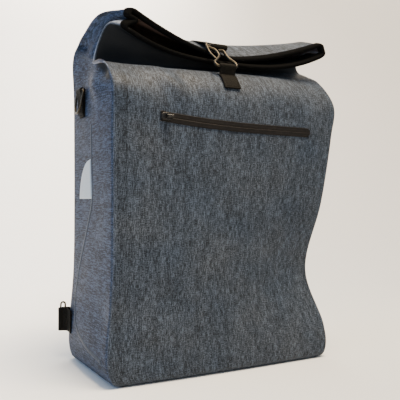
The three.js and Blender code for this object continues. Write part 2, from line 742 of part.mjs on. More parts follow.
// Webbing sewn to the side, folded over the ring's bar and sewn down on itself
function upperTab(side) {
  const out = sideOut(side);
  const foot = upperRingZ - upperRing.tabLength;
  const hinge = upperHinge(side);
  const under = steps(3, (s) => tabSeat(side, foot + s * (upperRing.tabLength - upperTabFree)));
  const fold = steps(8, (s) => {
    const angle = Math.PI * (1 - s);
    return hinge.clone()
      .addScaledVector(out, foldOf(upperRing) * Math.cos(angle))
      .add(new THREE.Vector3(0, 0, foldOf(upperRing) * Math.sin(angle)));
  });
  const doubled = webbing + 2 * seatGap;
  const upperLayer = [[0.72, 2 * doubled - webbing], [0.55, doubled], [0.1, doubled]].map(([s, clear]) => (
    tabSeat(side, foot + s * upperRing.tabLength).addScaledVector(out, clear)
  ));
  return ribbon([...under, ...fold, ...upperLayer], alongY, upperRing.tabWidth, webbing);
}

// The lower webbing starts on the side, stands out past the back edge and ends on the back wall.
// Out and behind are shares of how far it stands out, from the corner of the two walls.
const LOWER_TAB = table(
  ["out", "behind"],
  [[0.15, -0.4], [0.5, -0.02], [0.8, 0.08], [0.98, 0.14], [1.06, 0.3], [0.96, 0.45], [0.5, 0.6], [0, 0.56]],
);

function lowerCorner(side) {
  const z = lowerTab.foot + lowerTab.height / 2;
  const x = onSide(side, -frontPlane - lowerTab.sewn, z).point.x;
  return new THREE.Vector3(x, onBack(x - side * lowerTab.reach, z).point.y, z);
}

function lowerTabBody(side) {
  const corner = lowerCorner(side);
  const seats = (at, centre, out) => [-0.5, 0, 0.5].map((k) => at(centre, corner.z + k * lowerTab.height))
    .map((spot) => raised(spot, webbingSeat))
    .reduce((far, point) => (point.dot(out) > far.dot(out) ? point : far))
    .setZ(corner.z);
  const sideStart = [1.3, 0.75].map((k) => (
    seats((y, z) => onSide(side, y, z), corner.y - k * lowerTab.sewn, sideOut(side))
  ));
  const free = LOWER_TAB.map((row) => (
    corner.clone().add(new THREE.Vector3(side * row.out, row.behind, 0).multiplyScalar(lowerTab.reach))
  ));
  const backEnd = [1, 1.6].map((k) => (
    seats((x, z) => onBack(x, z), corner.x - side * k * lowerTab.reach, INWARDS.front)
  ));
  return ribbon([...sideStart, ...free, ...backEnd], alongZ, lowerTab.height, webbing);
}

// A tall wire eye held in the fold, with its head above the webbing
function lowerEyeBody(side) {
  const corner = lowerCorner(side);
  const across = (lowerEye.width - lowerEye.wire) / 2;
  const rise = (lowerEye.height - lowerEye.wire) / 2 - across;
  const centre = corner.clone()
    .add(new THREE.Vector3(side * lowerEye.out, lowerEye.behind, 0))
    .setZ(lowerEye.foot + lowerEye.height / 2);
  const half = (sign) => steps(6, (s) => {
    const angle = Math.PI * s;
    return centre.clone().add(new THREE.Vector3(
      sign * across * Math.cos(angle), 0, sign * (rise + across * Math.sin(angle)),
    ));
  });
  return wire([...half(1), ...half(-1)], lowerEye.wire / 2, 6, true, 32);
}

// A quarter of an ellipse with its upright edge towards the front
function reflector(side) {
  return sheet(
    steps(7, (s) => {
      const reach = Math.max(patchWidth * Math.sqrt(1 - s * s), patchTip);
      return [0, 0.5, 1].map((k) => onSide(side, patchFront + k * reach, patchBottom + s * patchHeight));
    }),
    seatGap, patchThickness,
  );
}

// The welded seam of a side, as shares of the depth behind the front plane and of the height
const SEAM = table(
  ["behind", "up"],
  [
    [0.465, 0.68], [0.465, 0.59], [0.47, 0.48], [0.6, 0.39], [0.79, 0.27], [0.83, 0.185], [0.76, 0.12],
    [0.45, 0.08], [0.1, 0.062],
  ],
);

function sideSeam(side) {
  const route = new THREE.CatmullRomCurve3(SEAM.map((row) => place(side, row.behind, row.up)));
  return sheet(
    steps(26, (s) => {
      const centre = route.getPointAt(s);
      const run = route.getTangentAt(s);
      const beside = new THREE.Vector3(0, -run.z, run.y).multiplyScalar(seamWidth / 2);
      return [-1, 1].map((k) => onSide(side, centre.y + k * beside.y, centre.z + k * beside.z));
    }),
    skinClearance, seamThickness,
  );
}

// A padded strap that bows away from the back wall and narrows towards its foot
const padThicknessAt = (s) => padThickness * THREE.MathUtils.lerp(padEdge, 1, Math.sin(Math.PI * s));

function padPath(side, s) {
  const z = THREE.MathUtils.lerp(padTop, padFoot, s);
  const clear = skinClearance + padThicknessAt(s) / 2 + padBow * Math.sin(Math.PI * s);
  return bandSeat((x) => onBack(x, z), side * padSpread, padWidth, INWARDS.front, clear);
}

function shoulderPad(side) {
  const width = (s) => padWidth * (1 - padTaper * s * s);
  return ribbon(steps(14, (s) => padPath(side, s)), alongX, width, padThicknessAt);
}

function shoulderTail(side) {
  return ribbon(
    steps(8, (s) => {
      const z = THREE.MathUtils.lerp(padFoot - tailJoint, tailFoot, s);
      const x = side * (padSpread + tailSpread * s);
      const joint = skinClearance + padThicknessAt(1) / 2;
      const clear = THREE.MathUtils.lerp(joint, webbingSeat, Math.min(3 * s, 1));
      return raised(onBack(x, z), clear);
    }),
    alongX, tailWidth, webbing,
  );
}

const MATERIALS = {
  cloth: { color: 0x6f747b, roughness: 0.85 },
  binding: { color: 0x1b1c1b, roughness: 0.6 },
  zip: { color: 0x141516, roughness: 0.5 },
  webbing: { color: 0x20211f, roughness: 0.75 },
  metal: { color: 0x77756f, roughness: 0.3, metalness: 1 },
  reflective: { color: 0xaebccc, roughness: 0.4 },
  padding: { color: 0x2a2b2d, roughness: 0.9 },
};

const bag = new THREE.Group();

function add(name, geometry, finish) {
  const mesh = new THREE.Mesh(geometry, new THREE.MeshStandardMaterial(MATERIALS[finish]));
  mesh.name = name;
  bag.add(mesh);
}

add("bag_shell", shellGeometry, "cloth");
add("mouth_binding", mouthBinding(), "binding");
add("zip_tape", zipTape(), "zip");
add("zip_teeth", zipTeeth(), "zip");
add("zip_slider", zipSlider(), "zip");
add("zip_pull", zipPull(), "zip");
add("closure_strap", closureStrap(), "webbing");
add("strap_hook", strapHook(), "metal");
add("catch_tab", catchTab(), "webbing");

for (const [name, side] of [["left", -1], ["right", 1]]) {
  add(`upper_ring_tab_${name}`, upperTab(side), "webbing");
  add(`upper_ring_${name}`, upperRingBody(side), "metal");
  add(`lower_eye_tab_${name}`, lowerTabBody(side), "webbing");
  add(`lower_eye_${name}`, lowerEyeBody(side), "metal");
  add(`side_reflector_${name}`, reflector(side), "reflective");
  add(`side_seam_${name}`, sideSeam(side), "cloth");
  add(`shoulder_pad_${name}`, shoulderPad(side), "padding");
  add(`shoulder_tail_${name}`, shoulderTail(side), "webbing");
}

export default bag;
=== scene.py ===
"""Roll-top messenger backpack: cloth, webbing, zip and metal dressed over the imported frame"""
import json
import math

import bmesh
import bpy
from bpy.props import FloatProperty, FloatVectorProperty, PointerProperty
from mathutils import Matrix, Vector, noise
from mathutils.bvhtree import BVHTree


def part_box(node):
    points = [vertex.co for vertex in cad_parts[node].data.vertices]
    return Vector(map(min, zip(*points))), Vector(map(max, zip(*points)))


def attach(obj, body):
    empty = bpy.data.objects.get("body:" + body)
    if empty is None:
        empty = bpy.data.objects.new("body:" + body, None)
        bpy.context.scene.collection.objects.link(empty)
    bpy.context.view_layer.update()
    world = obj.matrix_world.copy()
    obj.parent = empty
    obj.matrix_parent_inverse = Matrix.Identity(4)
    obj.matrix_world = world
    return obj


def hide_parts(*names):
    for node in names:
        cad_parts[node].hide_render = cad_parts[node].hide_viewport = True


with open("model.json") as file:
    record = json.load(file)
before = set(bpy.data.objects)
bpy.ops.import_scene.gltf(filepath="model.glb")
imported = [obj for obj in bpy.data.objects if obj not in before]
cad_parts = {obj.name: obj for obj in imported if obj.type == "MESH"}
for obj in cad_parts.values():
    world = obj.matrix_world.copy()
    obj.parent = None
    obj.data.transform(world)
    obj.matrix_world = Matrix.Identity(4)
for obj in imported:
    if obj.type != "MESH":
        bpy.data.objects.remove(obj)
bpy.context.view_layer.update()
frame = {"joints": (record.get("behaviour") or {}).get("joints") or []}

bl_info = {
    "name": "Roll-top Backpack",
    "version": (1, 0, 0),
    "blender": (4, 5, 0),
    "location": "3D View > Sidebar > Backpack",
    "description": "Builds a roll-top messenger backpack over its packed frame",
    "category": "Add Mesh",
}

MM = 0.001
ROOT = "bag"
SIDES = (("left", -1), ("right", 1))
X_AXIS, Y_AXIS, Z_AXIS = Vector((1, 0, 0)), Vector((0, 1, 0)), Vector((0, 0, 1))


def table(columns, rows):
    return [dict(zip(columns, row)) for row in rows]


def lerp(a, b, share):
    return a + (b - a) * share


def clamp(value, low=0.0, high=1.0):
    return max(low, min(high, value))


def smooth(value):
    value = clamp(value)
    return value * value * (3 - 2 * value)


def running_lengths(points, closed=False):
    """How far along the line each point lies, with the whole length last if it is closed"""
    ends = points[1:] + points[:1] if closed else points[1:]
    lengths = [0.0]
    for a, b in zip(points, ends):
        lengths.append(lengths[-1] + (b - a).length)
    return lengths


# Sections from the base up to the rim of the folded mouth. X is a share of half the width, Y a
# share of the depth behind the front plane, Z a share of the height. A tuck is how far the gusset
# goes inwards, as a share of the depth.
EDGE_COLUMNS = ("section", "front_x", "front_y", "front_z", "back_x", "back_y", "back_z", "tuck")
LEFT_EDGE = table(EDGE_COLUMNS, (
    ("foot", -0.895, 0.05, 0, -0.95, 0.955, 0, 0),
    ("turn", -0.955, 0.01, 0.01, -0.99, 0.99, 0.01, 0),
    ("base", -1.0, -0.006, 0.045, -1.01, 1.005, 0.04, -0.01),
    ("low", -1.005, -0.003, 0.1, -1.01, 1.01, 0.1, -0.015),
    ("waist", -0.97, 0.0, 0.26, -0.975, 1.01, 0.26, -0.01),
    ("middle", -0.963, 0.0, 0.467, -0.968, 1.01, 0.467, 0),
    ("upper", -0.963, 0.0, 0.667, -0.968, 1.01, 0.667, -0.01),
    ("shoulder", -0.963, 0.005, 0.769, -0.972, 1.01, 0.782, 0.0),
    ("lean", -0.967, 0.2, 0.834, -0.985, 1.01, 0.89, 0.03),
    ("valley", -0.96, 0.49, 0.858, -0.965, 0.995, 0.935, 0.05),
    ("rise", -0.945, 0.42, 0.913, -0.945, 0.86, 0.964, 0.07),
    ("crest", -0.905, 0.35, 0.956, -0.91, 0.56, 1.0, 0.08),
    ("lip", -0.845, 0.29, 0.952, -0.8, 0.35, 0.999, 0.05),
    ("rim", -0.8, 0.26, 0.944, -0.725, 0.27, 0.998, 0.02),
))
RIGHT_EDGE = table(EDGE_COLUMNS, (
    ("foot", 0.885, 0.06, 0, 0.89, 0.955, 0, 0),
    ("turn", 0.93, 0.025, 0.01, 0.93, 0.99, 0.01, 0),
    ("base", 0.955, 0.015, 0.04, 0.955, 1.005, 0.04, -0.01),
    ("low", 0.945, 0.035, 0.1, 0.96, 1.01, 0.1, -0.01),
    ("waist", 0.838, 0.144, 0.26, 0.935, 1.01, 0.26, 0.0),
    ("middle", 0.915, 0.03, 0.467, 0.955, 1.01, 0.467, 0),
    ("upper", 1.0, 0.0, 0.667, 0.98, 1.01, 0.667, 0.0),
    ("shoulder", 1.03, 0.0, 0.756, 0.985, 1.01, 0.782, 0.0),
    ("lean", 0.98, 0.15, 0.838, 0.98, 1.01, 0.89, 0.03),
    ("valley", 0.94, 0.38, 0.884, 0.965, 0.985, 0.93, 0.05),
    ("rise", 0.915, 0.375, 0.906, 0.955, 0.84, 0.958, 0.07),
    ("crest", 0.94, 0.25, 0.932, 0.95, 0.45, 0.986, 0.07),
    ("lip", 0.965, 0.115, 0.926, 0.94, 0.14, 0.961, 0.03),
    ("rim", 0.975, 0.055, 0.917, 0.94, 0.055, 0.95, 0.01),
))
# The middle of the front and back walls. Spread shapes how a wall runs from its middle out to its
# edges. Rows are the mesh rows up to the next section.
MIDDLE = table(("section", "front_y", "front_z", "back_y", "back_z", "spread", "rows"), (
    ("foot", 0.04, 0, 0.965, 0, 2.4, 3),
    ("turn", -0.002, 0.01, 1.0, 0.01, 2.4, 4),
    ("base", -0.018, 0.04, 1.02, 0.04, 2.4, 6),
    ("low", -0.025, 0.1, 1.03, 0.1, 2.4, 14),
    ("waist", -0.03, 0.267, 1.035, 0.267, 2.2, 18),
    ("middle", -0.035, 0.467, 1.035, 0.467, 2.2, 18),
    ("upper", -0.03, 0.667, 1.03, 0.667, 2.2, 12),
    ("shoulder", -0.005, 0.769, 1.02, 0.778, 2, 12),
    ("lean", 0.125, 0.829, 0.99, 0.878, 2, 12),
    ("valley", 0.31, 0.853, 0.94, 0.928, 2, 10),
    ("rise", 0.3, 0.872, 0.79, 0.948, 1.8, 10),
    ("crest", 0.262, 0.8745, 0.56, 0.955, 1.7, 10),
    ("lip", 0.23, 0.869, 0.268, 0.896, 1.6, 4),
    ("rim", 0.185, 0.861, 0.206, 0.883, 1.6, 0),
))
SECTION = {row["section"]: index for index, row in enumerate(MIDDLE)}

# Soft dents and swellings of the cloth. Across is a share of half the width on the front and of
# the depth on a side, up a share of the height. Length, breadth and depth are shares of the depth,
# tilt is in degrees, and a negative depth swells outwards.
DENTS = table(("wall", "across", "up", "length", "breadth", "tilt", "depth"), (
    ("front", -0.74, 0.8, 0.24, 0.09, -38, 0.035),
    ("front", -0.52, 0.815, 0.2, 0.06, -52, -0.02),
    ("front", -0.4, 0.8, 0.22, 0.06, -48, 0.022),
    ("front", -0.93, 0.185, 0.3, 0.12, 8, 0.03),
    ("front", -0.72, 0.15, 0.22, 0.12, 24, -0.025),
    ("front", 0.62, 0.27, 0.4, 0.5, 0, 0.035),
    ("left", 0.2, 0.175, 0.4, 0.12, -6, 0.025),
    ("left", 0.17, 0.83, 0.1, 0.12, 40, 0.05),
    ("right", 0.3, 0.27, 0.5, 0.4, 0, 0.03),
))
# Sharp folds of the gussets where the mouth is rolled. Share runs from one edge of the wall to the
# other, along is in sections, and depth is in millimetres inwards.
FOLDS = table(("wall", "share", "along", "share_reach", "along_reach", "depth"), (
    ("left", 0.87, 8.3, 0.08, 0.5, 2),
    ("left", 0.7, 7.1, 0.16, 0.45, -7),
    ("left", 0.8, 10.2, 0.14, 1.3, 13),
    ("left", 0.74, 12.6, 0.17, 1.5, 15),
    ("left", 0.2, 9.2, 0.2, 0.35, 5),
    ("right", 0.2, 9.6, 0.16, 1.2, 12),
))
INWARDS = {"front": Y_AXIS, "right": -X_AXIS, "back": -Y_AXIS, "left": X_AXIS}
WALLS = (("front", 64), ("right", 30), ("back", 52), ("left", 32))
CORNER_STEPS = 6
# The column near the middle of the front whose rise sets the weave's height
RISE_COLUMN = 30


def curve_point(points, share):
    """A point of the centripetal curve through the points, at a share of its whole index range"""
    last = len(points) - 1
    along = clamp(share) * last
    index = min(int(along), last - 1)
    w = along - index
    p1, p2 = points[index], points[index + 1]
    p0 = points[index - 1] if index > 0 else 2 * p1 - p2
    p3 = points[index + 2] if index + 2 <= last else 2 * p2 - p1
    d0, d1, d2 = (max((b - a).length_squared, 1e-12) ** 0.25 for a, b in ((p0, p1), (p1, p2), (p2, p3)))
    t1 = ((p1 - p0) / d0 - (p2 - p0) / (d0 + d1) + (p2 - p1) / d1) * d1
    t2 = ((p2 - p1) / d1 - (p3 - p1) / (d1 + d2) + (p3 - p2) / d2) * d1
    return p1 + t1 * w + (3 * (p2 - p1) - 2 * t1 - t2) * w ** 2 + (2 * (p1 - p2) + t1 + t2) * w ** 3


class BagSkin:
    """The outside of the bag as a function of a place along the sections and round the walls"""

    def __init__(self, shape):
        self.shape = shape
        self.half = shape.width / 2
        rows = range(len(MIDDLE))
        self.guides = {
            "front_left": [self.corner(LEFT_EDGE[i], "front") for i in rows],
            "front_right": [self.corner(RIGHT_EDGE[i], "front") for i in rows],
            "back_left": [self.corner(LEFT_EDGE[i], "back") for i in rows],
            "back_right": [self.corner(RIGHT_EDGE[i], "back") for i in rows],
            "front": [self.middle(i, "front") for i in rows],
            "back": [self.middle(i, "back") for i in rows],
            "left": [self.gusset(LEFT_EDGE[i], X_AXIS) for i in rows],
            "right": [self.gusset(RIGHT_EDGE[i], -X_AXIS) for i in rows],
        }

    def place(self, x, y, z):
        shape = self.shape
        return Vector((x * self.half, (y - 0.5) * shape.depth, z * shape.height))

    def corner(self, edge, wall):
        return self.place(edge[f"{wall}_x"], edge[f"{wall}_y"], edge[f"{wall}_z"])

    def middle(self, index, wall):
        x = (LEFT_EDGE[index][f"{wall}_x"] + RIGHT_EDGE[index][f"{wall}_x"]) / 2
        return self.place(x, MIDDLE[index][f"{wall}_y"], MIDDLE[index][f"{wall}_z"])

    def gusset(self, edge, inwards):
        centre = (self.corner(edge, "front") + self.corner(edge, "back")) / 2
        return centre + inwards * edge["tuck"] * self.shape.depth

    def dent(self, wall, share, point):
        depth = self.shape.depth
        inset = Vector()
        for row in DENTS:
            if row["wall"] != wall:
                continue
            if wall == "front":
                across = point.x - row["across"] * self.half
            else:
                across = point.y - (row["across"] - 0.5) * depth
            up = point.z - row["up"] * self.shape.height
            tilt = math.radians(row["tilt"])
            along = (across * math.cos(tilt) + up * math.sin(tilt)) / (row["length"] * depth)
            beside = (up * math.cos(tilt) - across * math.sin(tilt)) / (row["breadth"] * depth)
            fade = 1 - abs(2 * share - 1) ** 6
            inset += INWARDS[wall] * row["depth"] * depth * fade * math.exp(-along ** 2 - beside ** 2)
        return inset

    def fold(self, wall, share, along):
        inset = Vector()
        for row in FOLDS:
            if row["wall"] == wall:
                across = (share - row["share"]) / row["share_reach"]
                up = (along - row["along"]) / row["along_reach"]
                edge = smooth(share / 0.06) * smooth((1 - share) / 0.09)
                inset += INWARDS[wall] * row["depth"] * MM * edge * math.exp(-across ** 2 - up ** 2)
        return inset

    def section(self, position):
        """Everything that the points of one row need"""
        at = {name: curve_point(points, position) for name, points in self.guides.items()}
        along = position * (len(MIDDLE) - 1)
        index = min(int(along), len(MIDDLE) - 2)
        spread = lerp(MIDDLE[index]["spread"], MIDDLE[index + 1]["spread"], along - index)
        mouth = smooth((along - SECTION["rise"]) / 2)
        crisp, soft = lerp(self.shape.front_edge, self.shape.back_edge, mouth), self.shape.back_edge
        return {
            "along": along,
            "front": (at["front_left"], at["front"], at["front_right"], spread + 1.1 * mouth, crisp, crisp),
            "right": (at["front_right"], at["right"], at["back_right"], 2, crisp, soft),
            "back": (at["back_right"], at["back"], at["back_left"], spread, soft, soft),
            "left": (at["back_left"], at["left"], at["front_left"], 2, soft, crisp),
        }

    def on_wall(self, section, wall, step):
        """A point of one wall, step 0 just past one corner and 1 just before the next"""
        start, middle, end, spread, first, last = section[wall]
        length = (end - start).length
        share = lerp(min(first / length, 0.3), 1 - min(last / length, 0.3), step)
        bow = middle - (start + end) / 2
        point = start.lerp(end, share) + bow * (1 - abs(2 * share - 1) ** spread)
        return point + self.dent(wall, share, point) + self.fold(wall, share, section["along"])

    def on_corner(self, section, index, step):
        """A point of the rounded corner after the wall of that index"""
        wall, following = WALLS[index][0], WALLS[(index + 1) % len(WALLS)][0]
        a, b = self.on_wall(section, wall, 1), self.on_wall(section, following, 0)
        tip = section[wall][2]
        return a * (1 - step) ** 2 + tip * 2 * step * (1 - step) + b * step ** 2


def shell_columns():
    """(kind, wall index, step) of each column round the bag"""
    columns = []
    for index, (_, count) in enumerate(WALLS):
        columns += [("wall", index, i / count) for i in range(count + 1)]
        columns += [("corner", index, i / CORNER_STEPS) for i in range(1, CORNER_STEPS)]
    return columns


def shell_rows():
    last = len(MIDDLE) - 1
    rows = [(i + step / row["rows"]) / last for i, row in enumerate(MIDDLE) for step in range(row["rows"])]
    return rows + [1.0]


def mapped_grid(columns, rows, close_columns, close_rows, place, measure=None, marks=None):
    """A created grid whose vertex (i, j) goes to place(i, j). Measure gives its spot on the weave map,
    and marks holds a function for each float attribute."""
    marks = marks or {}
    bm = bmesh.new()
    bm.loops.layers.uv.new("Weave")
    for name in marks:
        bm.verts.layers.float.new(name)
    across = columns if close_columns else columns - 1
    along = rows if close_rows else rows - 1
    bmesh.ops.create_grid(bm, x_segments=across, y_segments=along, size=1.0, calc_uvs=True)
    uv = bm.loops.layers.uv["Weave"]
    cell = {v: (round((v.co.x + 1) / 2 * across), round((v.co.y + 1) / 2 * along)) for v in bm.verts}
    if measure:
        for face in bm.faces:
            for loop in face.loops:
                loop[uv].uv = measure(*cell[loop.vert])
    for name, value_at in marks.items():
        layer = bm.verts.layers.float[name]
        for v, (i, j) in cell.items():
            v[layer] = value_at(i % columns, j % rows)
    for v, (i, j) in cell.items():
        v.co = place(i % columns, j % rows)
    if close_columns or close_rows:
        bmesh.ops.remove_doubles(bm, verts=bm.verts, dist=1e-6)
    return bm


def verts_in(geometry):
    return [v for v in geometry if isinstance(v, bmesh.types.BMVert)]


def close_ends(bm):
    edges = [e for e in bm.edges if e.is_boundary]
    if edges:
        bmesh.ops.holes_fill(bm, edges=edges, sides=0)


def sharpen(bm, degrees):
    """Smooth shading, with creases kept where two faces turn by more than this"""
    for face in bm.faces:
        face.smooth = True
    for edge in bm.edges:
        if len(edge.link_faces) == 2:
            edge.smooth = edge.calc_face_angle(0) < math.radians(degrees)


def put(bm, name, body, materials, replaced=(), crease=40):
    """Makes the mesh an object of the bag that rides on a body"""
    bmesh.ops.recalc_face_normals(bm, faces=bm.faces)
    sharpen(bm, crease)
    mesh = bpy.data.meshes.new(name)
    bm.to_mesh(mesh)
    bm.free()
    piece = bpy.data.objects.new(name, mesh)
    bpy.context.scene.collection.objects.link(piece)
    for material in materials:
        mesh.materials.append(material)
    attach(piece, body)
    if replaced:
        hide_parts(*replaced)
    return piece


def thicken(piece, thickness, inner=0):
    """Gives a sheet its thickness behind it, with an inner side of its own material if one is given"""
    modifier = piece.modifiers.new("Cloth wall", "SOLIDIFY")
    modifier.thickness = thickness
    modifier.offset = -1
    modifier.use_even_offset = False
    modifier.material_offset = inner


def back_up(piece, out, thickness):
    """Turns a one-sided sheet to show its front, and thickens it behind"""
    mesh = piece.data
    if sum((face.normal * face.area for face in mesh.polygons), Vector()).dot(out) < 0:
        mesh.flip_normals()
    thicken(piece, thickness)


def round_edges(piece, width):
    modifier = piece.modifiers.new("Rounded edges", "BEVEL")
    modifier.width = width
    modifier.segments = 2
    modifier.limit_method = "ANGLE"
    modifier.angle_limit = math.radians(40)


def feed(tree, made, inputs):
    """Gives a node's inputs, by name or number, a link from a socket or a plain value"""
    for key, value in inputs.items():
        if isinstance(value, bpy.types.NodeSocket):
            tree.links.new(value, made.inputs[key])
        else:
            made.inputs[key].default_value = value


def node(tree, kind, inputs, **settings):
    """A new node with its properties set and its inputs fed"""
    made = tree.nodes.new(kind)
    for key, value in settings.items():
        setattr(made, key, value)
    feed(tree, made, inputs)
    return made


def calc(tree, operation, *values, clamped=False):
    """The result of a Math node"""
    made = node(tree, "ShaderNodeMath", dict(enumerate(values)), operation=operation, use_clamp=clamped)
    return made.outputs[0]


def stretched(tree, vector, factors):
    return node(tree, "ShaderNodeVectorMath", {0: vector, 1: factors}, operation="MULTIPLY").outputs[0]


def scaled(tree, vector, size):
    return node(tree, "ShaderNodeVectorMath", {0: vector, "Scale": size}, operation="SCALE").outputs[0]


def grain(tree, vector, scale, detail, roughness=0.5):
    """The value of a noise texture"""
    inputs = {"Vector": vector, "Scale": scale, "Detail": detail, "Roughness": roughness}
    return node(tree, "ShaderNodeTexNoise", inputs).outputs["Fac"]


def cells(tree, vector, scale, randomness=1.0):
    """The distance to the nearest cell's middle"""
    inputs = {"Vector": vector, "Scale": scale, "Randomness": randomness}
    return node(tree, "ShaderNodeTexVoronoi", inputs).outputs["Distance"]


def ranged(tree, value, start, end, low, high):
    """The value, moved from the range start to end into the range low to high"""
    inputs = {"Value": value, "From Min": start, "From Max": end, "To Min": low, "To Max": high}
    return node(tree, "ShaderNodeMapRange", inputs).outputs["Result"]


def ramped(tree, value, *stops):
    """The colour of a ramp with these (place, colour) stops"""
    made = node(tree, "ShaderNodeValToRGB", {"Fac": value})
    elements = made.color_ramp.elements
    while len(elements) < len(stops):
        elements.new(0.5)
    for element, (place, colour) in zip(elements, stops):
        element.position = place
        element.color = (*colour, 1)
    return made.outputs["Color"]


def mixed(tree, factor, first, second, blend="MIX"):
    """One colour mixed or blended with another"""
    inputs = {"Factor": factor, 6: first, 7: second}
    return node(tree, "ShaderNodeMix", inputs, data_type="RGBA", blend_type=blend).outputs[2]


def mixed_value(tree, factor, first, second):
    return node(tree, "ShaderNodeMix", {"Factor": factor, 2: first, 3: second}, data_type="FLOAT").outputs[0]


def bumped(tree, height, strength, distance):
    inputs = {"Height": height, "Strength": strength, "Distance": distance}
    return node(tree, "ShaderNodeBump", inputs).outputs["Normal"]


def component(tree, vector, axis):
    return node(tree, "ShaderNodeSeparateXYZ", {"Vector": vector}).outputs[axis]


def attribute(tree, name):
    return node(tree, "ShaderNodeAttribute", {}, attribute_name=name).outputs["Fac"]


def weave_map(tree):
    return node(tree, "ShaderNodeUVMap", {}, uv_map="Weave").outputs["UV"]


def object_place(tree):
    return node(tree, "ShaderNodeTexCoord", {}).outputs["Object"]


def new_group(name, inputs, outputs):
    """A shader node group with its named sockets, its input node and its output node"""
    group = bpy.data.node_groups.new(name, "ShaderNodeTree")
    for socket, kind, default in inputs:
        made = group.interface.new_socket(name=socket, in_out="INPUT", socket_type=f"NodeSocket{kind}")
        if default is not None:
            made.default_value = default
    for socket, kind in outputs:
        group.interface.new_socket(name=socket, in_out="OUTPUT", socket_type=f"NodeSocket{kind}")
    return group, group.nodes.new("NodeGroupInput").outputs, group.nodes.new("NodeGroupOutput")


def melange_group():
    """Two-tone crossed threads: long streaks along the warp, short ones along the weft, and slubs"""
    group, source, target = new_group(
        "Melange Threads",
        [("Vector", "Vector", None), ("Threads", "Float", 600.0), ("Slub", "Float", 0.12),
         ("Contrast", "Float", 1.0)],
        [("Tone", "Float"), ("Height", "Float")],
    )
    height = 0.0
    for stretch, weight in (((1.0, 0.13, 1.0), 0.4), ((0.2, 1.1, 1.0), 0.22), ((1.3, 0.75, 1.0), 0.38)):
        threads = scaled(group, stretched(group, source["Vector"], stretch), source["Threads"])
        height = calc(group, "MULTIPLY_ADD", grain(group, threads, 1.0, 2.0, 0.55), weight, height)
    slubs = grain(group, stretched(group, source["Vector"], (150.0, 22.0, 1.0)), 1.0, 1.0)
    uneven = calc(group, "MULTIPLY_ADD", calc(group, "SUBTRACT", slubs, 0.5), source["Slub"], height)
    tone = calc(group, "MULTIPLY_ADD", calc(group, "SUBTRACT", uneven, 0.5), source["Contrast"], 0.5)
    feed(group, target, {"Tone": tone, "Height": height})
    return group


def ribs_group():
    """Webbing: fine ribs across the band with a diagonal twill over them"""
    group, source, target = new_group(
        "Webbing Ribs",
        [("Vector", "Vector", None), ("Ribs", "Float", 700.0)],
        [("Tone", "Float"), ("Height", "Float")],
    )
    band = scaled(group, source["Vector"], source["Ribs"])
    inputs = {"Vector": band, "Scale": 0.5, "Distortion": 1.2, "Detail": 1.0}
    waves = node(group, "ShaderNodeTexWave", inputs, bands_direction="DIAGONAL").outputs["Fac"]
    tone = calc(group, "MULTIPLY", waves, grain(group, band, 0.6, 3.0, 0.6))
    feed(group, target, {"Tone": tone, "Height": waves})
    return group


def crease_highlight_group():
    """Painted highlight: paler cloth where a crease attribute says that it is folded and its edge catches the
    light, broken up by grain
    """
    group, source, target = new_group(
        "Painted Crease Highlight",
        [("Colour", "Color", (0.1, 0.1, 0.1, 1)), ("Highlight Colour", "Color", (0.4, 0.4, 0.4, 1)),
         ("Crease", "Float", 0.0), ("Strength", "Float", 1.0)],
        [("Colour", "Color")],
    )
    broken = calc(group, "MULTIPLY", source["Crease"], grain(group, object_place(group), 240.0, 3.0))
    amount = calc(group, "MULTIPLY", broken, source["Strength"], clamped=True)
    feed(group, target, {"Colour": mixed(group, amount, source["Colour"], source["Highlight Colour"])})
    return group


def margin_group():
    """The doubled margin along the front's left edge, a little darker, with its seam line"""
    group, source, target = new_group(
        "Doubled Margin",
        [("Vector", "Vector", None), ("Width", "Float", 0.0115), ("Depth", "Float", 0.88),
         ("Line", "Float", 0.72)],
        [("Shade", "Color")],
    )
    across = component(group, source["Vector"], "X")
    inside = calc(group, "LESS_THAN", across, source["Width"])
    distance = calc(group, "ABSOLUTE", calc(group, "SUBTRACT", across, source["Width"]))
    on_line = calc(group, "LESS_THAN", distance, 0.0006)
    margin = mixed_value(group, inside, 1.0, source["Depth"])
    feed(group, target, {"Shade": mixed_value(group, on_line, margin, source["Line"])})
    return group


EFFECTS = {"threads": melange_group, "ribs": ribs_group, "crease_highlight": crease_highlight_group, "margin": margin_group}
GROUPS = {}


def effect(tree, name, inputs):
    """The outputs of a shared effect, placed in a material and built when it is first needed"""
    if name not in GROUPS:
        GROUPS[name] = EFFECTS[name]()
    return node(tree, "ShaderNodeGroup", inputs, node_tree=GROUPS[name]).outputs


def new_material(name):
    """A material, its node tree and its shader"""
    material = bpy.data.materials.new(name)
    material.use_nodes = True
    return material, material.node_tree, material.node_tree.nodes["Principled BSDF"]


def toned(colour, factor):
    return tuple(c * factor for c in colour)


# How far along U the side walls' turned weave map lies from the rest
TURNED_MAP = 3.0


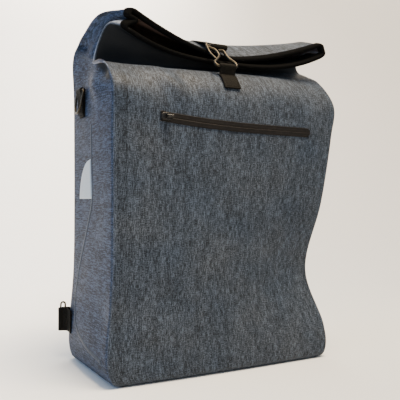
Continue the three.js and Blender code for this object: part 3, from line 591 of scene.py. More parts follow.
def melange_cloth(name, colour, tones, contrast=4.2):
    """Coated melange cloth in dark, middle and light tones of its colour, with painted light and shade: a cooler,
    darker tint on the side walls where the map is turned, a pale painted highlight along the folded front edges,
    and near-black painted shade under the rolled mouth and in the left gusset's tuck
    """
    material, tree, shader = new_material(name)
    weave = weave_map(tree)
    woven = effect(tree, "threads", {"Vector": weave, "Threads": 900.0, "Contrast": contrast})
    cloth = ramped(tree, woven["Tone"], *zip((0.22, 0.5, 0.8), (toned(colour, tone) for tone in tones)))
    patches = ramped(
        tree, grain(tree, object_place(tree), 14.0, 3.0, 0.6), (0.3, (0.8, 0.84, 0.9)), (0.7, (1.08, 1.0, 0.94)))
    cloth = mixed(tree, 1.0, cloth, patches, "MULTIPLY")
    # Painted light: the side walls, lit by the cool window from the left, are tinted cooler and darker
    turned = calc(tree, "GREATER_THAN", component(tree, weave, "X"), TURNED_MAP / 2)
    cloth = mixed(tree, turned, cloth, (0.55, 0.68, 0.93, 1), "MULTIPLY")
    cloth = mixed(tree, 1.0, cloth, effect(tree, "margin", {"Vector": weave})["Shade"], "MULTIPLY")
    # Painted highlight, pale and cool, along the folded front edges where they catch the light
    highlighted = effect(tree, "crease_highlight", {
        "Colour": cloth, "Highlight Colour": (0.2, 0.23, 0.29, 1), "Crease": attribute(tree, "crease"), "Strength": 1.5})
    # Near-black painted shade under the rolled mouth and in the left gusset's tuck, from the mark made with the
    # shell
    feed(tree, shader, {
        "Base Color": mixed(tree, attribute(tree, "painted_shade"), highlighted["Colour"], (0.0045, 0.006, 0.008, 1)),
        "Roughness": ranged(tree, woven["Tone"], 0.2, 0.8, 0.62, 0.5),
        "Specular IOR Level": 0.1,
        "Normal": bumped(tree, woven["Height"], 0.5, 0.0005),
    })
    return material


def webbing_material(name, colour):
    """Woven webbing with fine ribs"""
    material, tree, shader = new_material(name)
    ribbed = effect(tree, "ribs", {"Vector": weave_map(tree), "Ribs": 620.0})
    feed(tree, shader, {
        "Base Color": ramped(
            tree, ribbed["Tone"], (0.05, toned(colour, 0.55)), (0.3, tuple(colour)), (0.6, toned(colour, 1.9))),
        "Roughness": 0.62,
        "Specular IOR Level": 0.03,
        "Normal": bumped(tree, ribbed["Height"], 0.5, 0.0004),
    })
    return material


def coated_material(name, colour, roughness, fineness, gloss):
    """Smooth coated tape or moulded trim with a fine grain"""
    material, tree, shader = new_material(name)
    specks = grain(tree, object_place(tree), fineness, 4.0, 0.6)
    feed(tree, shader, {
        "Base Color": ramped(tree, specks, (0.35, toned(colour, 0.75)), (0.65, toned(colour, 1.3))),
        "Roughness": ranged(tree, specks, 0.3, 0.7, roughness - 0.07, roughness + 0.08),
        "Specular IOR Level": gloss,
        "Normal": bumped(tree, specks, 0.2, 0.0003),
    })
    return material


def metal_material(name, colour, roughness):
    """Plated wire, clouded and finely scratched"""
    material, tree, shader = new_material(name)
    place = object_place(tree)
    scratches = grain(tree, place, 900.0, 3.0, 0.65)
    feed(tree, shader, {
        "Base Color": ramped(
            tree, grain(tree, place, 110.0, 3.0), (0.35, toned(colour, 0.6)), (0.62, tuple(colour))),
        "Roughness": ranged(tree, scratches, 0.3, 0.7, roughness - 0.06, roughness + 0.12),
        "Metallic": 1.0,
        "Normal": bumped(tree, scratches, 0.03, 0.0001),
    })
    return material


def film_material(name, colour):
    """Reflective film with a fine bead texture"""
    material, tree, shader = new_material(name)
    beads = cells(tree, object_place(tree), 1100.0)
    feed(tree, shader, {
        "Base Color": ramped(tree, beads, (0.0, toned(colour, 1.12)), (0.9, toned(colour, 0.86))),
        "Roughness": 0.38,
        "Metallic": 0.25,
        "Normal": bumped(tree, beads, 0.12, 0.0002),
    })
    return material


def spacer_mesh_material(name, colour):
    """Open spacer mesh of the padded straps, with painted shade darkening its holes"""
    material, tree, shader = new_material(name)
    holes = cells(tree, weave_map(tree), 330.0, 0.25)
    feed(tree, shader, {
        # The holes are darkened: painted shade in them
        "Base Color": ramped(
            tree, holes, (0.05, toned(colour, 0.35)), (0.45, tuple(colour)), (0.8, toned(colour, 1.5))),
        "Roughness": 0.85,
        "Normal": bumped(tree, holes, 0.7, 0.0008),
    })
    return material


FINISHES = {
    "cloth": lambda colours: melange_cloth("Grey melange cloth", colours.cloth, (0.4, 1.0, 2.4)),
    "lining": lambda colours: melange_cloth("Coated inner cloth", colours.lining, (0.3, 1.0, 1.7), 1.1),
    "seam": lambda colours: melange_cloth("Welded seam cloth", colours.cloth, (0.8, 1.45, 2.6), 2.0),
    "binding": lambda colours: coated_material("Black binding tape", colours.binding, 0.8, 500.0, 0.01),
    "zip": lambda colours: coated_material("Coated zip tape", colours.zip_coat, 0.5, 260.0, 0.12),
    "zip_metal": lambda colours: coated_material("Black zip metal", toned(colours.zip_coat, 0.7), 0.3, 600.0, 0.3),
    "webbing": lambda colours: webbing_material("Black webbing", colours.webbing),
    "metal": lambda colours: metal_material("Gunmetal wire", colours.metal, 0.34),
    "film": lambda colours: film_material("Reflective film", colours.film),
    "mesh": lambda colours: spacer_mesh_material("Spacer mesh", colours.padding),
}
MATERIALS = {}


def scene_settings():
    scene = bpy.context.scene
    return scene.backpack_shape, scene.backpack_trim, scene.backpack_colours


def finish_of(name):
    """The named finish of this bag, made when it is first needed"""
    _, _, colours = scene_settings()
    if name not in MATERIALS:
        MATERIALS[name] = FINISHES[name](colours)
    return MATERIALS[name]


class Surface:
    """The finished skin, for the trims that lie on it, and its rim as (tip, foot) pairs"""

    def __init__(self):
        self.tree = None
        self.rim = []

    def seat(self, origin, towards):
        """Where a straight line first meets the skin, and the skin's outward direction there"""
        point, normal, _, _ = self.tree.ray_cast(origin, towards.normalized())
        if point is None:
            raise RuntimeError(f"no cloth under {tuple(origin)}")
        return point, (-normal if normal.dot(towards) > 0 else normal)

    def on_front(self, x, z):
        return self.seat(Vector((x, -0.5, z)), Y_AXIS)

    def on_back(self, x, z):
        return self.seat(Vector((x, 0.5, z)), -Y_AXIS)

    def on_side(self, side, y, z):
        return self.seat(Vector((side * 0.5, y, z)), -side * X_AXIS)


SKIN = Surface()


def band_seat(seat_at, x, width, out, height):
    """The middle of a flat band that clears the skin over its whole width"""
    spots = [seat_at(x + share * width) for share in (-0.5, -0.25, 0, 0.25, 0.5)]
    top = max(point.dot(out) for point, _ in spots)
    middle, normal = spots[2]
    return middle + normal * height + out * (top - middle.dot(out))


def even_path(points, count, closed=False):
    """Points spaced evenly along the smooth curve through the given ones"""
    source = points + [points[0]] if closed else points
    fine = [curve_point(source, i / 400) for i in range(401)]
    lengths = running_lengths(fine)
    result, k = [], 0
    for i in range(count if closed else count + 1):
        goal = lengths[-1] * i / count
        while k < len(lengths) - 2 and lengths[k + 1] < goal:
            k += 1
        span = lengths[k + 1] - lengths[k]
        result.append(fine[k].lerp(fine[k + 1], (goal - lengths[k]) / span if span else 0))
    return result


def swept(path, outline, across, closed=False, scale_of=None):
    """A tube whose section is the outline, (beside, above) pairs, carried along the path. Beside stays
    as near to across as the path lets it."""
    count, around = len(path), len(outline)
    frames = []
    for i, point in enumerate(path):
        before = path[i - 1] if i > 0 or closed else path[0]
        after = path[(i + 1) % count] if i < count - 1 or closed else path[-1]
        run = (after - before).normalized()
        side = (across - run * across.dot(run)).normalized()
        frames.append((point, side, run.cross(side)))
    lengths = running_lengths(path, closed=True)
    girth = running_lengths([Vector(point) for point in outline], closed=True)

    def place(i, j):
        point, side, above = frames[i]
        scale = scale_of(i / (count - 1)) if scale_of else (1, 1)
        return point + side * outline[j][0] * scale[0] + above * outline[j][1] * scale[1]

    bm = mapped_grid(count, around, closed, True, place, lambda i, j: (girth[j], lengths[i]))
    close_ends(bm)
    return bm


def round_outline(radius, sides=12, flat=1.0):
    angles = [math.tau * k / sides for k in range(sides)]
    return [(radius * math.cos(angle), flat * radius * math.sin(angle)) for angle in angles]


def band_outline(width, thickness, steps=8):
    """A flat band with rounded selvedges"""
    half, rise = width / 2, thickness / 2
    flat = half - rise
    top = [(lerp(flat, -flat, k / steps), rise) for k in range(steps + 1)]
    bottom = [(lerp(-flat, flat, k / steps), -rise) for k in range(steps + 1)]
    return top + [(-half, 0)] + bottom + [(half, 0)]


def wire_mesh(points, radius, normal, count, closed=False, sides=12, flat=1.0):
    """A bmesh of a wire whose path lies in the plane with this normal"""
    path = even_path(points, count, closed)
    return swept(path, round_outline(radius, sides, flat), normal, closed)


def joined(meshes):
    """One bmesh that holds all of them"""
    whole = bmesh.new()
    for part in meshes:
        holder = bpy.data.meshes.new("part")
        part.to_mesh(holder)
        part.free()
        whole.from_mesh(holder)
        bpy.data.meshes.remove(holder)
    return whole


def webbing_piece(name, points, width, thickness, replaced=(), across=X_AXIS, count=60):
    """A length of webbing that follows the points"""
    bm = swept(even_path(points, count), band_outline(width, thickness), across)
    return put(bm, name, ROOT, [finish_of("webbing")], replaced, crease=50)


def stitches(start, end, out, thread=0.0006, length=0.0022, gap=0.0008):
    """A straight row of short raised stitches"""
    row = bmesh.new()
    run = end - start
    count = max(round(run.length / (length + gap)), 1)
    along = run.normalized()
    turn = Matrix((along, out.cross(along), out)).transposed().to_4x4()
    size = Matrix.Diagonal((run.length / count * length / (length + gap), thread, thread * 0.7, 1))
    for k in range(count):
        centre = start + run * (k + 0.5) / count + out * thread * 0.25
        bmesh.ops.create_cube(row, size=1.0, matrix=Matrix.Translation(centre) @ turn @ size)
    bmesh.ops.bevel(
        row, geom=list(row.edges), offset=thread * 0.2, affect="EDGES", segments=1, profile=0.5, material=-1)
    return row


def length_property(name, words, value):
    return FloatProperty(name=name, description=words, default=value, unit="LENGTH")


def colour_property(name, words, value):
    return FloatVectorProperty(name=name, description=words, default=value, subtype="COLOR", min=0, max=1)


class BackpackShape(bpy.types.PropertyGroup):
    """Sizes of the cloth bag"""
    width: length_property("Width", "Width of the bag at its base", 0.32)
    depth: length_property("Depth", "Depth of the bag from front to back", 0.16)
    height: length_property("Height", "Height of the folded bag", 0.45)
    wall: length_property("Cloth", "Thickness of the cloth wall", 0.002)
    front_edge: length_property("Front Edge", "Radius of the front edges", 0.005)
    back_edge: length_property("Back Edge", "Radius of the back edges", 0.009)
    ripple: length_property("Ripple", "Height of the soft waves in the cloth", 0.0012)


class BackpackTrim(bpy.types.PropertyGroup):
    """Sizes of the webbing, zip and metal"""
    webbing: length_property("Webbing", "Thickness of the webbing", 0.0016)
    strap_width: length_property("Strap Width", "Width of the closure strap", 0.024)
    catch_width: length_property("Catch Width", "Width of the loop on the front", 0.023)
    hook_wire: length_property("Hook Wire", "Diameter of the hook's wire", 0.0036)
    binding: length_property("Binding", "Height of the tape round the mouth", 0.0085)
    tape_width: length_property("Zip Width", "Width of the zip's coated tape", 0.012)
    pad_width: length_property("Pad Width", "Width of a shoulder pad", 0.058)
    pad_thickness: length_property("Pad Thickness", "Thickness of a shoulder pad", 0.009)


class BackpackColours(bpy.types.PropertyGroup):
    """Colours of the finishes"""
    cloth: colour_property("Cloth", "Middle tone of the melange cloth", (0.0262, 0.034, 0.0465))
    lining: colour_property("Lining", "Inner side of the cloth", (0.06, 0.044, 0.04))
    binding: colour_property("Binding", "Tape round the mouth", (0.003, 0.003, 0.003))
    webbing: colour_property("Webbing", "Closure and tabs", (0.0065, 0.006, 0.005))
    zip_coat: colour_property("Zip", "Coated tape of the zip", (0.006, 0.005, 0.0045))
    metal: colour_property("Metal", "Hook and rings", (0.045, 0.038, 0.028))
    film: colour_property("Film", "Reflective patches", (0.24, 0.3, 0.36))
    padding: colour_property("Padding", "Shoulder pads", (0.015, 0.015, 0.017))


def ripple_at(point, wall, height):
    """Soft waves of cloth that nothing stretches"""
    seed = {"front": 1.7, "right": 5.1, "back": 9.3, "left": 13.9}[wall]
    broad = noise.noise(Vector((point.x * 11 + seed, point.y * 11, point.z * 8)))
    fine = noise.noise(Vector((point.x * 34, point.y * 34 + seed, point.z * 26)))
    return height * (broad + 0.35 * fine)


def crease_at(kind, index, step, along):
    """How folded the cloth is along the two front corners, from 0 to 1, most where the mouth leans back. It sets
    where the painted highlight goes on those edges.
    """
    if kind != "corner" or index in (1, 2):
        return 0.0
    fold = smooth((along - SECTION["shoulder"] - 0.4) / 0.8)
    return clamp((0.08 + 0.92 * fold) * math.exp(-((step - 0.5) / 0.2) ** 2))


def painted_shade_at(kind, index, step, along):
    """Near-black painted shade: on the front of the rolled mouth, which lies in shade under the lip, and in the
    tuck of the left gusset under it
    """
    if kind == "wall" and WALLS[index][0] == "front":
        return smooth((along - SECTION["lean"] - 0.75) / 0.3)
    if kind == "wall" and WALLS[index][0] == "left":
        reach = 0.29 * math.sqrt(clamp((along - SECTION["shoulder"] - 0.08) / 0.92))
        return smooth((step - 1 + reach) / 0.05) * smooth((SECTION["lean"] + 0.85 - along) / 0.2)
    return 0.0


class BACKPACK_OT_shell(bpy.types.Operator):
    """Build the cloth bag with its folded mouth"""
    bl_idname = "backpack.shell"
    bl_label = "Cloth Bag"

    def execute(self, context):
        shape, _, _ = scene_settings()
        skin = BagSkin(shape)
        columns, rows = shell_columns(), shell_rows()
        sections = [skin.section(position) for position in rows]

        def point_at(i, j):
            kind, index, step = columns[i]
            section = sections[j]
            if kind == "wall":
                wall = WALLS[index][0]
                point = skin.on_wall(section, wall, step)
                fade = (1 - abs(2 * step - 1) ** 4) * smooth((point.z - 0.004) / 0.03)
                return point - INWARDS[wall] * ripple_at(point, wall, shape.ripple) * fade
            return skin.on_corner(section, index, step)

        points = [[point_at(i, j) for j in range(len(rows))] for i in range(len(columns))]
        middle_row = rows.index(SECTION["middle"] / (len(MIDDLE) - 1))
        girth = running_lengths([column[middle_row] for column in points], closed=True)
        rise = running_lengths(points[RISE_COLUMN])
        # The crease mark places the painted highlight on the folded front edges, and the other places the
        # near-black painted shade under the rolled mouth
        marks = {
            "crease": lambda i, j: crease_at(*columns[i], sections[j]["along"]),
            "painted_shade": lambda i, j: painted_shade_at(*columns[i], sections[j]["along"]),
        }
        bm = mapped_grid(
            len(columns), len(rows), True, False,
            lambda i, j: points[i][j], lambda i, j: (girth[i], rise[j]), marks)
        self.turn_side_weave(bm, girth)
        self.close_base(bm)
        bmesh.ops.recalc_face_normals(bm, faces=bm.faces)
        SKIN.tree = BVHTree.FromBMesh(bm)
        SKIN.rim = [(column[-1], column[-4]) for column in points]
        piece = put(bm, "cloth_bag", ROOT, [finish_of("cloth"), finish_of("lining")],
                    ["bag_shell"], crease=70)
        thicken(piece, shape.wall, inner=1)
        return {"FINISHED"}

    def turn_side_weave(self, bm, girth):
        """The side walls are cut with their warp across, so their map is turned and finer"""
        uv = bm.loops.layers.uv["Weave"]
        spans = []
        start = 0
        for wall, count in WALLS:
            if wall in ("left", "right"):
                spans.append((girth[start] - 0.006, girth[start + count] + 0.004))
            start += count + CORNER_STEPS
        for face in bm.faces:
            middle = sum(loop[uv].uv.x for loop in face.loops) / len(face.loops)
            if any(low <= middle <= high for low, high in spans):
                for loop in face.loops:
                    u, v = loop[uv].uv
                    loop[uv].uv = (0.7 * v + TURNED_MAP, 0.6 * u)

    def close_base(self, bm):
        """The foot's loop is drawn in to the middle of the base and filled"""
        edges = [e for e in bm.edges if e.is_boundary and max(v.co.z for v in e.verts) < 0.001]
        for scale in (0.7, 0.3):
            grown = bmesh.ops.extrude_edge_only(bm, edges=edges)["geom"]
            bmesh.ops.scale(bm, vec=(scale, scale, 1), verts=verts_in(grown))
            edges = [e for e in grown if isinstance(e, bmesh.types.BMEdge)]
        bmesh.ops.holes_fill(bm, edges=edges, sides=0)


# The tape's section: across in half widths, and up in heights over the rim
TAPE_SECTION = (
    (-1, -1), (-1.12, -0.6), (-1.05, -0.2), (-0.8, 0.08), (0, 0.2),
    (0.8, 0.08), (1.05, -0.2), (1.12, -0.6), (1, -1), (0, -0.97),
)


class BACKPACK_OT_binding(bpy.types.Operator):
    """Wrap the binding tape round the mouth"""
    bl_idname = "backpack.binding"
    bl_label = "Mouth Binding"

    def execute(self, context):
        shape, trim, _ = scene_settings()
        tips = [tip for tip, _ in SKIN.rim]
        ups = [(tip - foot).normalized() for tip, foot in SKIN.rim]
        count = len(tips)
        outs = [(tips[(i + 1) % count] - tips[i - 1]).cross(ups[i]).normalized() for i in range(count)]
        middle = sum(tips, Vector()) / count
        if sum(out.dot(tip - middle) for out, tip in zip(outs, tips)) < 0:
            outs = [-out for out in outs]
        half = shape.wall / 2 + 0.0016
        around = running_lengths([Vector((x * half, y * trim.binding)) for x, y in TAPE_SECTION], closed=True)
        along = running_lengths(tips, closed=True)

        def place(i, j):
            beside, above = TAPE_SECTION[j]
            centre = tips[i] - outs[i] * shape.wall / 2
            return centre + outs[i] * beside * half + ups[i] * above * trim.binding

        bm = mapped_grid(count, len(TAPE_SECTION), True, True, place, lambda i, j: (around[j], along[i]))
        put(bm, "mouth_tape", ROOT, [finish_of("binding")], ["mouth_binding"], crease=75)
        return {"FINISHED"}


def hinge_of(body):
    """Where the frame hinges a body"""
    return Vector(next(joint["pos_m"] for joint in frame["joints"] if joint["child"] == body))


# The zip's two ends over the front panel, along X
ZIP_START, ZIP_END = -0.097, 0.119
# The zip's section: a share of the tape's half width, and a share of the lips' height
ZIP_SECTION = (
    (-1, 0), (-0.98, 0.75), (-0.9, 1), (-0.72, 0.85), (-0.5, 0.95), (-0.2, 1.15), (-0.05, 1.05), (0, 0.55),
    (0.05, 1.05), (0.2, 1.15), (0.5, 0.95), (0.72, 0.85), (0.9, 1), (0.98, 0.75), (1, 0),
)
LIP_HEIGHT = 0.0013
LUG_RADIUS = 0.00245
ACROSS_X = Matrix.Rotation(math.pi / 2, 4, "Y")


def zip_line(x):
    """Height of the zip's middle over the front panel"""
    return 0.3025 + 0.009 * ((ZIP_END - x) / (ZIP_END - ZIP_START)) ** 3


def disc(centre, radius, depth, segments):
    """A bmesh of a short bar along X"""
    bar = bmesh.new()
    bmesh.ops.create_cone(
        bar, cap_ends=True, segments=segments, radius1=radius, radius2=radius, depth=depth,
        matrix=Matrix.Translation(centre) @ ACROSS_X)
    return bar


class BACKPACK_OT_zip(bpy.types.Operator):
    """Lay the coated zip on the front with its slider and pull"""
    bl_idname = "backpack.zip"
    bl_label = "Front Zip"

    def execute(self, context):
        self.tape()
        self.slider()
        self.pull()
        return {"FINISHED"}

    def tape(self):
        _, trim, _ = scene_settings()
        half = trim.tape_width / 2
        turn = ZIP_END - half

        def reach(x):
            """Half the tape's width, which the end rounds off"""
            return half if x < turn else math.sqrt(max(half ** 2 - (x - turn) ** 2, 1e-8))

        xs = [lerp(ZIP_START, turn, i / 50) for i in range(51)]
        xs += [turn + half * math.sin(math.radians(angle)) for angle in (12, 25, 38, 50, 62, 74, 84)]

        def place(i, j):
            share, rise = ZIP_SECTION[j]
            point, normal = SKIN.on_front(xs[i], zip_line(xs[i]) + share * reach(xs[i]))
            return point + normal * (0.0001 + rise * LIP_HEIGHT)

        bm = mapped_grid(len(xs), len(ZIP_SECTION), False, False, place, lambda i, j: (xs[i], j * 0.0009))
        tape = put(bm, "zip_lips", ROOT, [finish_of("zip")], ["zip_tape", "zip_teeth"], crease=60)
        back_up(tape, -Y_AXIS, 0.0004)

    def slider(self):
        """A rounded plate with two lugs that hold the pull's pin"""
        low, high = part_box("zip_slider")
        width, height, thickness = high.x - low.x, high.z - low.z, 0.0024
        centre = Vector(((low.x + high.x) / 2, high.y - thickness / 2, (low.z + high.z) / 2))
        plate = bmesh.new()
        bmesh.ops.create_circle(plate, cap_ends=True, radius=0.5, segments=32)
        bmesh.ops.transform(plate, matrix=Matrix.Rotation(math.pi / 2, 4, "X"), verts=plate.verts)
        for v in plate.verts:
            v.co.x = math.copysign(abs(2 * v.co.x) ** 0.72 / 2, v.co.x) * width
            v.co.z = math.copysign(abs(2 * v.co.z) ** 0.72 / 2, v.co.z) * height
            v.co += centre + Y_AXIS * thickness / 2
        grown = bmesh.ops.extrude_face_region(plate, geom=list(plate.faces))["geom"]
        bmesh.ops.translate(plate, vec=(0, -thickness, 0), verts=verts_in(grown))
        bmesh.ops.recalc_face_normals(plate, faces=plate.faces)
        rims = [e for e in plate.edges if len(e.link_faces) == 2 and e.calc_face_angle(0) > 1]
        bmesh.ops.bevel(plate, geom=rims, offset=0.0007, affect="EDGES", segments=3, profile=0.5, material=-1)
        pin = hinge_of("zip_pull")
        lugs = [disc(pin + X_AXIS * side * 0.00345, LUG_RADIUS, 0.0012, 20) for side in (-1, 1)]
        for lug in lugs:
            for v in lug.verts:
                if v.co.y > pin.y + 0.0005:
                    v.co.y = centre.y + 0.0005
        rod = disc(pin, 0.0011, 0.008, 16)
        put(joined([plate, *lugs, rod]), "zip_slider_body", ROOT, [finish_of("zip_metal")],
            ["zip_slider"], crease=35)

    def pull(self):
        """A tongue with a slot, hung on the pin by its eye"""
        low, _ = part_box("zip_pull")
        pin = hinge_of("zip_pull")
        half, foot, thickness = 0.0035, low.z, 0.0018
        neck = pin.z - 0.0032
        outline = []
        for k in range(13):
            angle = math.pi + math.pi * k / 12
            outline.append((half * math.cos(angle), foot + half + half * math.sin(angle)))
        outline += [
            (half, neck - 0.002), (0.0026, neck), (0.0025, pin.z - 0.001),
            (-0.0025, pin.z - 0.001), (-0.0026, neck), (-half, neck - 0.002),
        ]
        tongue = bmesh.new()
        tongue.faces.new([tongue.verts.new((pin.x + x, pin.y + thickness / 2, z)) for x, z in outline])
        bmesh.ops.inset_region(tongue, faces=tongue.faces, thickness=0.0021, use_even_offset=True)
        slot = max(tongue.faces, key=lambda face: len(face.verts))
        bmesh.ops.delete(tongue, geom=[slot], context="FACES_ONLY")
        grown = bmesh.ops.extrude_face_region(tongue, geom=list(tongue.faces))["geom"]
        bmesh.ops.translate(tongue, vec=(0, -thickness, 0), verts=verts_in(grown))
        bmesh.ops.recalc_face_normals(tongue, faces=tongue.faces)
        eye = disc(pin, LUG_RADIUS, 0.005, 24)
        piece = put(joined([tongue, eye]), "zip_pull_tongue", "zip_pull", [finish_of("zip_metal")],
                    ["zip_pull"], crease=35)
        round_edges(piece, 0.0004)


def turn_round(centre, radius, start, end, count):
    """Points round a bar along X, from one angle to another, in degrees from +Y towards +Z"""
    result = []
    for i in range(count + 1):
        angle = math.radians(lerp(start, end, i / count))
        result.append(centre + Vector((0, radius * math.cos(angle), radius * math.sin(angle))))
    return result


# The closure's middle, and the two bars of the hook that the strap and the catch are folded round
CLOSURE_X = 0.003
STRAP_BAR = Vector((CLOSURE_X, -0.042, 0.412))
CATCH_BAR = Vector((CLOSURE_X, -0.065, 0.382))


def webbing_lift(trim):
    """Height of the middle of webbing that lies on the cloth"""
    return 0.0004 + trim.webbing / 2


def fold_radius(trim, wire):
    """Radius of the middle of webbing that is folded round a wire"""
    return wire / 2 + 0.0005 + trim.webbing / 2


class BACKPACK_OT_closure(bpy.types.Operator):
    """Build the closure strap, its hook and the loop on the front"""
    bl_idname = "backpack.closure"
    bl_label = "Closure"

    def execute(self, context):
        self.strap()
        self.catch()
        self.hook()
        return {"FINISHED"}

    def strap(self):
        shape, trim, _ = scene_settings()
        heart = Vector((CLOSURE_X, 0.25 * shape.depth, 0.84 * shape.height))
        over = []
        for i in range(29):
            angle = math.radians(lerp(-12, 128, i / 28))
            out = Vector((0, math.cos(angle), math.sin(angle)))
            start = heart + out * shape.depth
            over.append(band_seat(
                lambda x: SKIN.seat(Vector((x, start.y, start.z)), -out),
                CLOSURE_X, trim.strap_width, out, webbing_lift(trim)))
        fold = turn_round(STRAP_BAR, fold_radius(trim, trim.hook_wire), 112, 292, 10)
        end = fold[-1] + Vector((0, 0.0134, 0.0053))
        webbing_piece("closure_webbing", over + fold + [end], trim.strap_width, trim.webbing,
                      ["closure_strap"], count=110)

    def catch(self):
        _, trim, _ = scene_settings()
        sewn = [
            band_seat(lambda x: SKIN.on_front(x, z), CLOSURE_X, trim.catch_width, -Y_AXIS, webbing_lift(trim))
            for z in (lerp(0.352, 0.37, i / 5) for i in range(6))
        ]
        radius = fold_radius(trim, trim.hook_wire)
        fold = turn_round(CATCH_BAR, radius, 180, 0, 10)
        end = fold[-1] + Vector((0, 0, -2 * radius))
        webbing_piece("catch_webbing", sewn + fold + [end], trim.catch_width, trim.webbing, ["catch_tab"], count=70)
        # The upper layer, sewn on with a crossed box
        layer = [point + Vector((0, -trim.webbing * 0.95, 0)) for point in sewn]
        webbing_piece("catch_layer", layer, trim.catch_width * 0.99, trim.webbing * 0.9, count=24)
        self.crossed_box(layer[0], layer[-1], trim.catch_width / 2 - 0.0025, trim.webbing * 0.45)

    def crossed_box(self, foot, top, reach, lift):
        """Box of stitches with a cross in it"""
        inset = (top - foot).normalized() * 0.0022
        out = X_AXIS.cross(top - foot).normalized()
        corners = {
            (end, side): point + X_AXIS * side * reach + out * lift
            for end, point in (("low", foot + inset), ("high", top - inset)) for side in (-1, 1)
        }
        runs = (
            (("low", -1), ("low", 1)), (("low", 1), ("high", 1)), (("high", 1), ("high", -1)),
            (("high", -1), ("low", -1)), (("low", -1), ("high", 1)), (("low", 1), ("high", -1)),
        )
        lines = [stitches(corners[a], corners[b], out) for a, b in runs]
        put(joined(lines), "catch_stitching", ROOT, [finish_of("binding")])

    def hook(self):
        """A bar for the strap, a long arm and a lobed eye round the catch"""
        _, trim, _ = scene_settings()
        down = CATCH_BAR - STRAP_BAR
        reach = down.length / MM
        down.normalize()
        normal = X_AXIS.cross(down).normalized()

        def at(across, below):
            """A point of the hook's plane, in millimetres from the strap's bar towards the catch's"""
            return STRAP_BAR + X_AXIS * across * MM + down * below * MM

        radius = trim.hook_wire / 2
        bar = [at(12.5, 0), at(4, 0), at(-6, 0), at(-14, 0), at(-16.8, -0.4)]
        arm = [
            at(-16.2, -6.4), at(-17, -2), at(-17.4, 4), at(-17.3, 10), at(-16.6, 14.5), at(-14.2, 19.6),
            at(-11.8, 24),
        ]
        lobe = [
            at(-17.2, 3.2), at(-12.6, 4.3), at(-7.8, 7), at(-5.4, 12.5), at(-5.8, 18.9), at(-9, 23.6),
            at(-12.6, 27.6), at(-15.6, 31), at(-16.2, 34.6), at(-13.5, reach), at(0, reach), at(11.5, reach),
            at(14.8, 35), at(14.8, 30.4), at(12.9, 27), at(9, 23), at(6.5, 17), at(5.6, 11), at(4.6, 7.8),
            at(1.5, 6.9), at(-3.6, 8.2),
        ]
        parts = [
            wire_mesh(bar, radius * 0.95, normal, count=24),
            wire_mesh(arm, radius * 0.85, normal, count=40),
            wire_mesh(lobe, radius * 1.22, normal, count=170, flat=0.9),
        ]
        put(joined(parts), "hook_wire", ROOT, [finish_of("metal")], ["strap_hook"], crease=60)


# Half of the ring's width across and its reach out from the hinge are 1
RING = table(("across", "out"), (
    (-0.8, 0), (0, 0), (0.8, 0), (1, 0.1), (1, 0.4), (0.84, 0.75), (0.45, 0.96), (0, 1),
    (-0.45, 0.96), (-0.84, 0.75), (-1, 0.4), (-1, 0.1),
))
UPPER_RING = {
    "width": 0.027, "reach": 0.029, "wire": 0.0028, "y": 0.03, "z": 0.353, "tab_width": 0.02, "tab_length": 0.034,
}
# The lower tab's free loop round the back corner, in shares of its reach off the corner
LOWER_TAB = table(("out", "behind"), (
    (0.15, -0.4), (0.5, -0.02), (0.8, 0.08), (0.98, 0.14), (1.06, 0.3), (0.96, 0.45), (0.5, 0.6), (0, 0.56),
))


